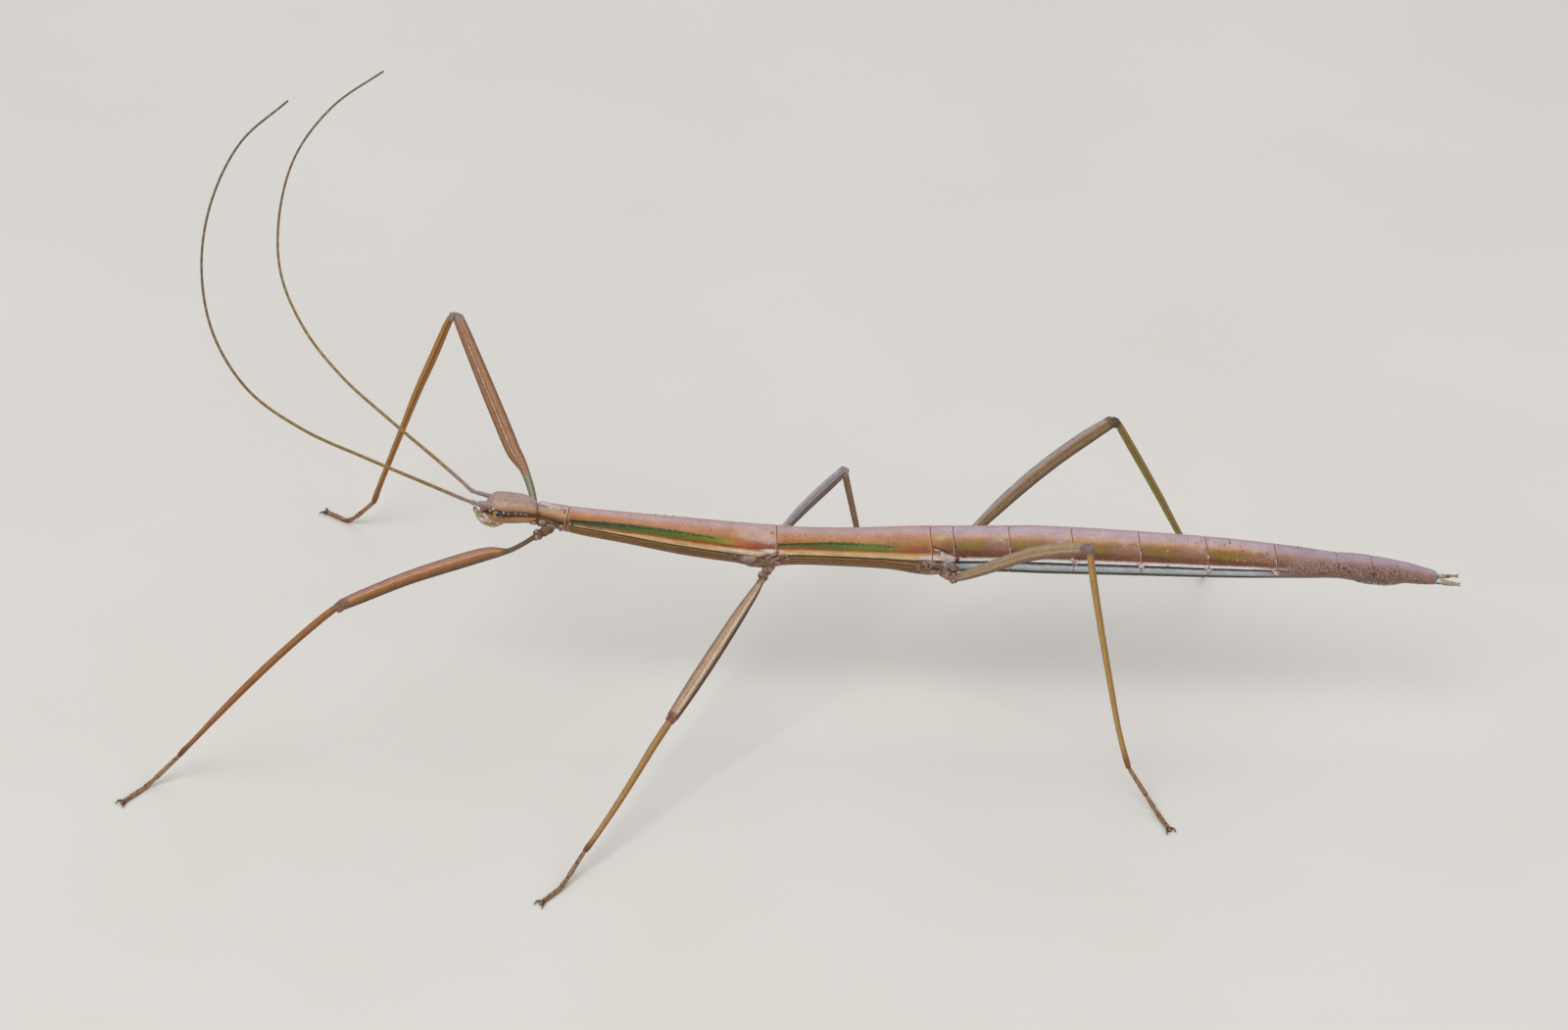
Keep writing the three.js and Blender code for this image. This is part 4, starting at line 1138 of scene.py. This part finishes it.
def makeEye(name, sign, material):
    centre = headPoint(eye["forward"], sign * eye["side"], eye["lift"])
    globe = ball(f"eye_globe_{name}", 64, 40)
    c, s = math.cos(eye["pupilTilt"]), math.sin(eye["pupilTilt"])
    spreads, pupils = [], []
    for vertex in globe.data.vertices:
        back, out, lift = vertex.co.x, vertex.co.y * sign, vertex.co.z
        u, v = back - eye["pupil"][0], lift - eye["pupil"][1]
        spreads.append(math.hypot(back, lift) + (0 if out > 0 else 1))
        lengthwise, crosswise = (u * c - v * s) / eye["pupilHalf"][0], (u * s + v * c) / eye["pupilHalf"][1]
        pupils.append(math.hypot(lengthwise, crosswise) if out > 0 else 3)
        half = Vector(size * part for size, part in zip(eye["half"], vertex.co))
        vertex.co = (centre + boxShift + half) * mm
    settle(store(globe, spread=spreads, pupil=pupils), material, "eye", f"eye_{name}")


eyeMaterial = makeEyeMaterial()
for sideName, sign in signs.items():
    makeEye(sideName, sign, eyeMaterial)


mouthCuticle = makePlateMaterial("mouth_cuticle", "bc9c8e", "9a7462", "5a3a2e", 0.6)
palpCuticle = makePlateMaterial("palp_cuticle", "c0b288", "9a8558", "543c26", 0.4)
mouth = {  # forward, side and lift of each plate, and its half sizes; then the feelers of the mouth
    "middle": [(4.42, 0, -0.7, 0.42, 0.5, 0.34), (4.6, 0, -0.28, 0.24, 0.42, 0.2)],
    "paired": [
        (4.22, 0.54, -0.6, 0.4, 0.5, 0.32), (3.95, 0.56, -0.92, 0.46, 0.4, 0.36),
        (3.4, 0.66, -0.98, 0.5, 0.34, 0.32), (3.55, 0.36, -1.26, 0.6, 0.22, 0.26),
        (3.05, 0.45, -1.26, 0.24, 0.16, 0.2), (3.5, 0.62, -1.38, 0.2, 0.13, 0.16),
    ],
    "outer": [
        (3.1, 0.6, -1.38), (3.66, 0.66, -1.5), (4.31, 0.68, -1.32), (4.73, 0.72, -0.92), (4.98, 0.74, -0.36),
        (5.24, 0.7, 0.08), (5.2, 0.66, 0.44),
    ],
    "folded": [(4.8, 0.66, -1.0), (5.05, 0.5, -0.62), (5.16, 0.36, -0.3)],  # far end of the right outer one
    "inner": [(3.3, 0.3, -1.4), (4.1, 0.34, -1.48), (4.7, 0.32, -1.2), (5.1, 0.26, -0.7)],
    "palps": {"outer": (0.085, 4), "inner": (0.075, 3)},  # half thickness and joints
    "socket": (3.78, 0.7, 0.52),  # of the feeler above, with the radius and thickness of its rim
    "rim": (0.3, 0.075),
}


def ringOf(centre, normal, radius, thickness):
    # the soft raised ring of a feeler's socket
    bpy.ops.object.select_all(action="DESELECT")
    bpy.ops.mesh.primitive_torus_add(
        major_segments=40, minor_segments=12, major_radius=radius * mm, minor_radius=thickness * mm,
    )
    piece = bpy.context.object
    turned = normal.normalized().to_track_quat("Z", "Y").to_matrix().to_4x4()
    piece.data.transform(Matrix.Translation((centre + boxShift) * mm) @ turned)
    return store(piece, crest=0.1)


def makePalp(points, radius, joints):
    length = lengthOf(points)

    def thickness(t):
        part = (t * joints) % 1 if t < 1 else 1
        swell = 0.82 + 0.28 * part - 0.4 * bell(part, 0, 0.07) - 0.3 * bell(part, 1, 0.05)
        return radius * swell * roundedEnds(t, length, 0.08) + 0.004

    def fold(turn, t):
        return 0.6 * bell((t * joints + 0.5) % 1, 0.5, 0.1)

    return rod("palp", points, thickness, 14, 90, crest=fold)


def makeMouth():
    pieces, palps = [], []
    for forward, side, lift, *half in mouth["middle"]:
        basis = (upward, Vector((0, 1, 0)), Vector((-1, 0, 0)))
        pieces.append(lump(headPoint(forward, side, lift), half, basis, 0.04, 2))
    for hand in (-1, 1):
        outward = Vector((-0.5, 0.75 * hand, -0.1)).normalized()
        basis = (outward.cross(Vector((0, 0, hand))).normalized(), upward, outward)
        for k, (forward, side, lift, *half) in enumerate(mouth["paired"]):
            jaw = lump(headPoint(forward, hand * side, lift), half, basis, 0.05, k)
            pieces.append(store(jaw, tint=0 if k else 0.6))
        forward, side, lift = mouth["socket"]
        socket = headPoint(forward, hand * side, lift)
        pieces.append(ringOf(socket, Vector((-0.95, 0.15 * hand, 0.25)), *mouth["rim"]))
        for name, (radius, joints) in mouth["palps"].items():
            route = [*mouth["outer"][:3], *mouth["folded"]] if hand > 0 and name == "outer" else mouth[name]
            points = [headPoint(forward, hand * side, lift) for forward, side, lift in route]
            palps.append(makePalp(points, radius, joints))
    settle(joined("mouth_plates", pieces), mouthCuticle, "mouth_cuticle", "mouthparts")
    settle(joined("mouth_palps", palps), palpCuticle, "mouth_cuticle")


makeMouth()
print("head done")


hornCuticle = makePlateMaterial("pale_horn", "a08f7b", "806c57", "46362a", 0.4)
scoopHorn = makePlateMaterial("grey_scoop_horn", "a69e92", "7c7064", "3a3028", 0.32)
bulbWax = makePlateMaterial("waxy_tail_bulb", "bcc6cc", "949ca2", "54504c", 0.3)
cercus = {  # a bulb at the root, then a flat prong with a forked tip; the right one is seen edge on
    "route": [(54.5, 0.3, -0.1), (55.15, 0.36, -0.12), (56, 0.54, -0.16), (56.8, 0.66, -0.2)],
    "rows": [(0, 0.2), (0.16, 0.27), (0.3, 0.21), (0.42, 0.24), (0.62, 0.22), (0.85, 0.17), (1, 0.11)],
    "slim": {"left": 1, "right": 0.76},
    "fork": 0.13,
    "bulb": (0.34, 0.25, 0.25),
    "bulbPlace": (55.24, 0.39, -0.12),
}
scoop = {  # under the tail: where it starts and ends, how far it hangs down and its half width
    "start": 47.3, "end": 52.5, "sides": 48, "rings": 80,
    "hang": [(0, 0.02), (0.2, 0.26), (0.45, 0.5), (0.68, 0.56), (0.85, 0.42), (0.95, 0.26), (1, 0.1)],
    "width": [(0, 0.1), (0.2, 0.66), (0.5, 0.66), (0.8, 0.44), (0.95, 0.2), (1, 0.02)],
}


def makeCercus(name, sign):
    points = [bodyPoint(x, sign * side, lift) for x, side, lift in cercus["route"]]
    length, end, fork = lengthOf(points), points[-1], cercus["fork"]
    prong = rod(
        "prong", points,
        lambda t: cercus["slim"][name] * keyed(cercus["rows"], t) * roundedEnds(t, length, 0.1) + 0.005,
        28, 60,
        relief=lambda turn, t: 1 + 0.08 * math.sin(math.radians(turn) * 3 + t * 14),
        crest=lambda turn, t: bell(t, 0.3, 0.05) + 0.5 * bell(turn, -80, 22),
    )

    def forkRadius(t):
        return 0.09 * (1 - t) ** 0.6 + 0.01

    pieces = [prong]
    for hand in (-1, 1):
        tip = end + Vector((0.24, fork * hand * 0.6, fork * hand))
        route = [end - Vector((0.15, 0, 0)), end.lerp(tip, 0.6), tip]
        pieces.append(rod("fork", route, forkRadius, 14, 14, crest=lambda turn, t: 0.9 * t))
    straight = (Vector((1, 0, 0)), Vector((0, 1, 0)), upward)
    x, side, lift = cercus["bulbPlace"]
    bulb = lump(bodyPoint(x, sign * side, lift), cercus["bulb"], straight, 0.05, sign, 0.85)
    settle(named(bulb, f"cercus_bulb_{name}"), bulbWax, "tail_horn")
    settle(joined(f"cercus_prong_{name}", pieces), hornCuticle, "tail_horn", f"cercus_{name}")


def makeScoop():
    piece = ringedBar("egg_scoop", scoop["sides"], scoop["rings"])

    def place(ring, turn):
        t = ring / (scoop["rings"] - 1)
        x = scoop["start"] + (scoop["end"] - scoop["start"]) * t
        angle = math.radians(turn)
        ridges = 0.035 * math.sin(turn / 7 + x) + 0.04 * noise.noise(Vector((x * 1.8, turn / 30, 3)))
        hang = keyed(scoop["hang"], t) if abs(turn) > 90 else 0.1
        drop = -keyed(body["girth"], x, 2) * 0.86 + math.cos(angle) * hang
        streak = fade(noise.noise(Vector((x * 2.4, turn / 12, 5))), 0.05, 0.3)
        point = bodyPoint(x, -math.sin(angle) * (keyed(scoop["width"], t) + ridges), drop + ridges)
        return point, (0.6 * bell(abs(turn), 104, 7) + 0.6 * streak,)

    shapeBar(piece, scoop["rings"], place, ("crest",))
    settle(piece, scoopHorn, "tail_horn", "operculum")


for sideName, sign in signs.items():
    makeCercus(sideName, sign)
makeScoop()
print("tail done")


knobCuticle = makePlateMaterial("pale_joint_knob", "cdbab8", "a98b86", "54302a", 0.4)
soilGrain = makePlateMaterial("rusty_soil_grain", "cc9462", "a06238", "5e3620", 0.2, (0.6, 0.8))
knobs = {
    "places": [(18.95, 82), (24.25, 86), (29.85, 91), (35.55, 97), (41.2, 101)],  # and degrees down
    "lobes": [  # ahead, degrees further down and half sizes
        (0.04, 0, 0.24, 0.19, 0.15), (-0.16, -6, 0.15, 0.15, 0.13), (0.2, 5, 0.12, 0.17, 0.11),
        (0.3, -3, 0.09, 0.09, 0.08),
    ],
    "upper": (57, 0.07, 0.12, 0.07),  # degrees down and half sizes
}
soil = {
    "seed": 41,
    "smallest": 0.035,
    "largest": 0.095,
    "clusters": [  # place, degrees from the ridge, reach, spread and count
        (-9.6, -24, 1.9, 9, 12), (-8.4, 4, 1.6, 12, 8), (-19.2, 2, 1.0, 26, 12), (33.0, 28, 1.5, 24, 18),
        (36.5, 16, 2.2, 26, 18), (42.5, -8, 2.0, 25, 9), (39.0, 52, 1.5, 18, 8), (22.5, -24, 2.0, 12, 4),
        (-4, 30, 9, 14, 7), (8, 24, 5, 18, 7),
    ],
}


def makeKnobs():
    # a lobed white knob low on each side behind the belly joints, and a smaller one above it
    pieces = []
    upperTurn, *upperHalf = knobs["upper"]
    for x, turn in knobs["places"]:
        for hand in (-1, 1):
            for k, (ahead, down, *half) in enumerate(knobs["lobes"]):
                spot, *basis = onBody(x + ahead, hand * (turn + down), -0.03)
                pieces.append(lump(spot, half, basis, 0.1, k + x, 0.75))
            spot, *basis = onBody(x - 0.02, hand * upperTurn, -0.03)
            pieces.append(lump(spot, upperHalf, basis, 0.1, x))
    settle(joined("joint_knobs", pieces), knobCuticle, "abdomen_cuticle")


def makeGrains():
    # reddish soil grains stuck to the waxy back, in loose clusters
    rng = random.Random(soil["seed"])
    pieces = []
    for x, turn, reach, spread, count in soil["clusters"]:
        for k in range(count):
            size = soil["smallest"] + (soil["largest"] - soil["smallest"]) * rng.random() ** 2
            spot, *basis = onBody(x + reach * rng.uniform(-1, 1), turn + spread * rng.uniform(-1, 1), 0.01)
            half = [size * rng.uniform(0.8, 1.3) for axis in range(3)]
            pieces.append(lump(spot, half, basis, 0.16, k + x, 0.9))
    settle(joined("soil_grains", pieces), soilGrain, "thorax_cuticle")


makeKnobs()
makeGrains()
print("small things done")


studio = {
    "target": Vector((-1.15, -2.10, 18.2)) * mm,
    "distance": 0.45,
    "elevation": 34.605,
    "turn": -2.212,
    "roll": 2.595,
    "lens": 124.13,
    "floorSize": 6,
    "floorColours": [(0.3, "cfcbc4"), (0.7, "d3cfc9")],
    "lamps": {  # place in metres, size, power
        "key": ((-0.25, -0.35, 0.7), 0.55, 4.2), "fill": ((0.5, -0.45, 0.4), 0.6, 1.6),
        "back": ((0.1, 0.6, 0.6), 0.6, 1.6),
    },
    "skyColour": "e6e9ee",
    "skyStrength": 0.5,
}


def makeFloor():
    # matt painted board
    bpy.ops.object.select_all(action="DESELECT")
    bpy.ops.mesh.primitive_plane_add(size=studio["floorSize"])
    floor = bpy.context.object
    floor.name = "floor"
    material, tree = newMaterial("matt_painted_board")[:2]
    place = tree.nodes["place"].outputs["Object"]
    tone = addNode(tree, "TexNoise", {"Vector": place, "Scale": 30, "Detail": 3})
    shade = addNode(tree, "ValToRGB", {0: tone}, stops=studio["floorColours"])
    finish(tree, shade.outputs[0], 2.0, 0.05, (0.8, 0.9))
    floor.data.materials.append(material)


def makeLight():
    # three soft lamps aimed at the origin, under a pale sky
    for name, (place, size, power) in studio["lamps"].items():
        bpy.ops.object.light_add(type="AREA", location=place)
        lamp = bpy.context.object
        lamp.name = f"lamp_{name}"
        lamp.data.size = size
        lamp.data.energy = power
        lamp.rotation_euler = (-Vector(place)).to_track_quat("-Z", "Y").to_euler()
    world = bpy.data.worlds.new("soft_sky")
    world.use_nodes = True
    sky = world.node_tree.nodes["Background"]
    sky.inputs[0].default_value = linear(studio["skyColour"])
    sky.inputs[1].default_value = studio["skyStrength"]
    bpy.context.scene.world = world


def makeCamera():
    tilt, turn, roll = (math.radians(studio[key]) for key in ("elevation", "turn", "roll"))
    back = Vector((math.sin(turn) * math.cos(tilt), -math.cos(turn) * math.cos(tilt), math.sin(tilt)))
    bpy.ops.object.camera_add()
    camera = bpy.context.object
    camera.data.lens = studio["lens"]
    camera.data.sensor_width = 36
    camera.data.clip_start = 0.01
    camera.matrix_world = (
        Matrix.Translation(studio["target"] + back * studio["distance"])
        @ Matrix.Rotation(turn, 4, "Z")
        @ Matrix.Rotation(math.pi / 2 - tilt, 4, "X")
        @ Matrix.Rotation(roll, 4, "Z")
    )
    bpy.context.scene.camera = camera


makeFloor()
makeLight()
makeCamera()
bpy.context.scene.view_settings.view_transform = "Standard"
print("studio done")
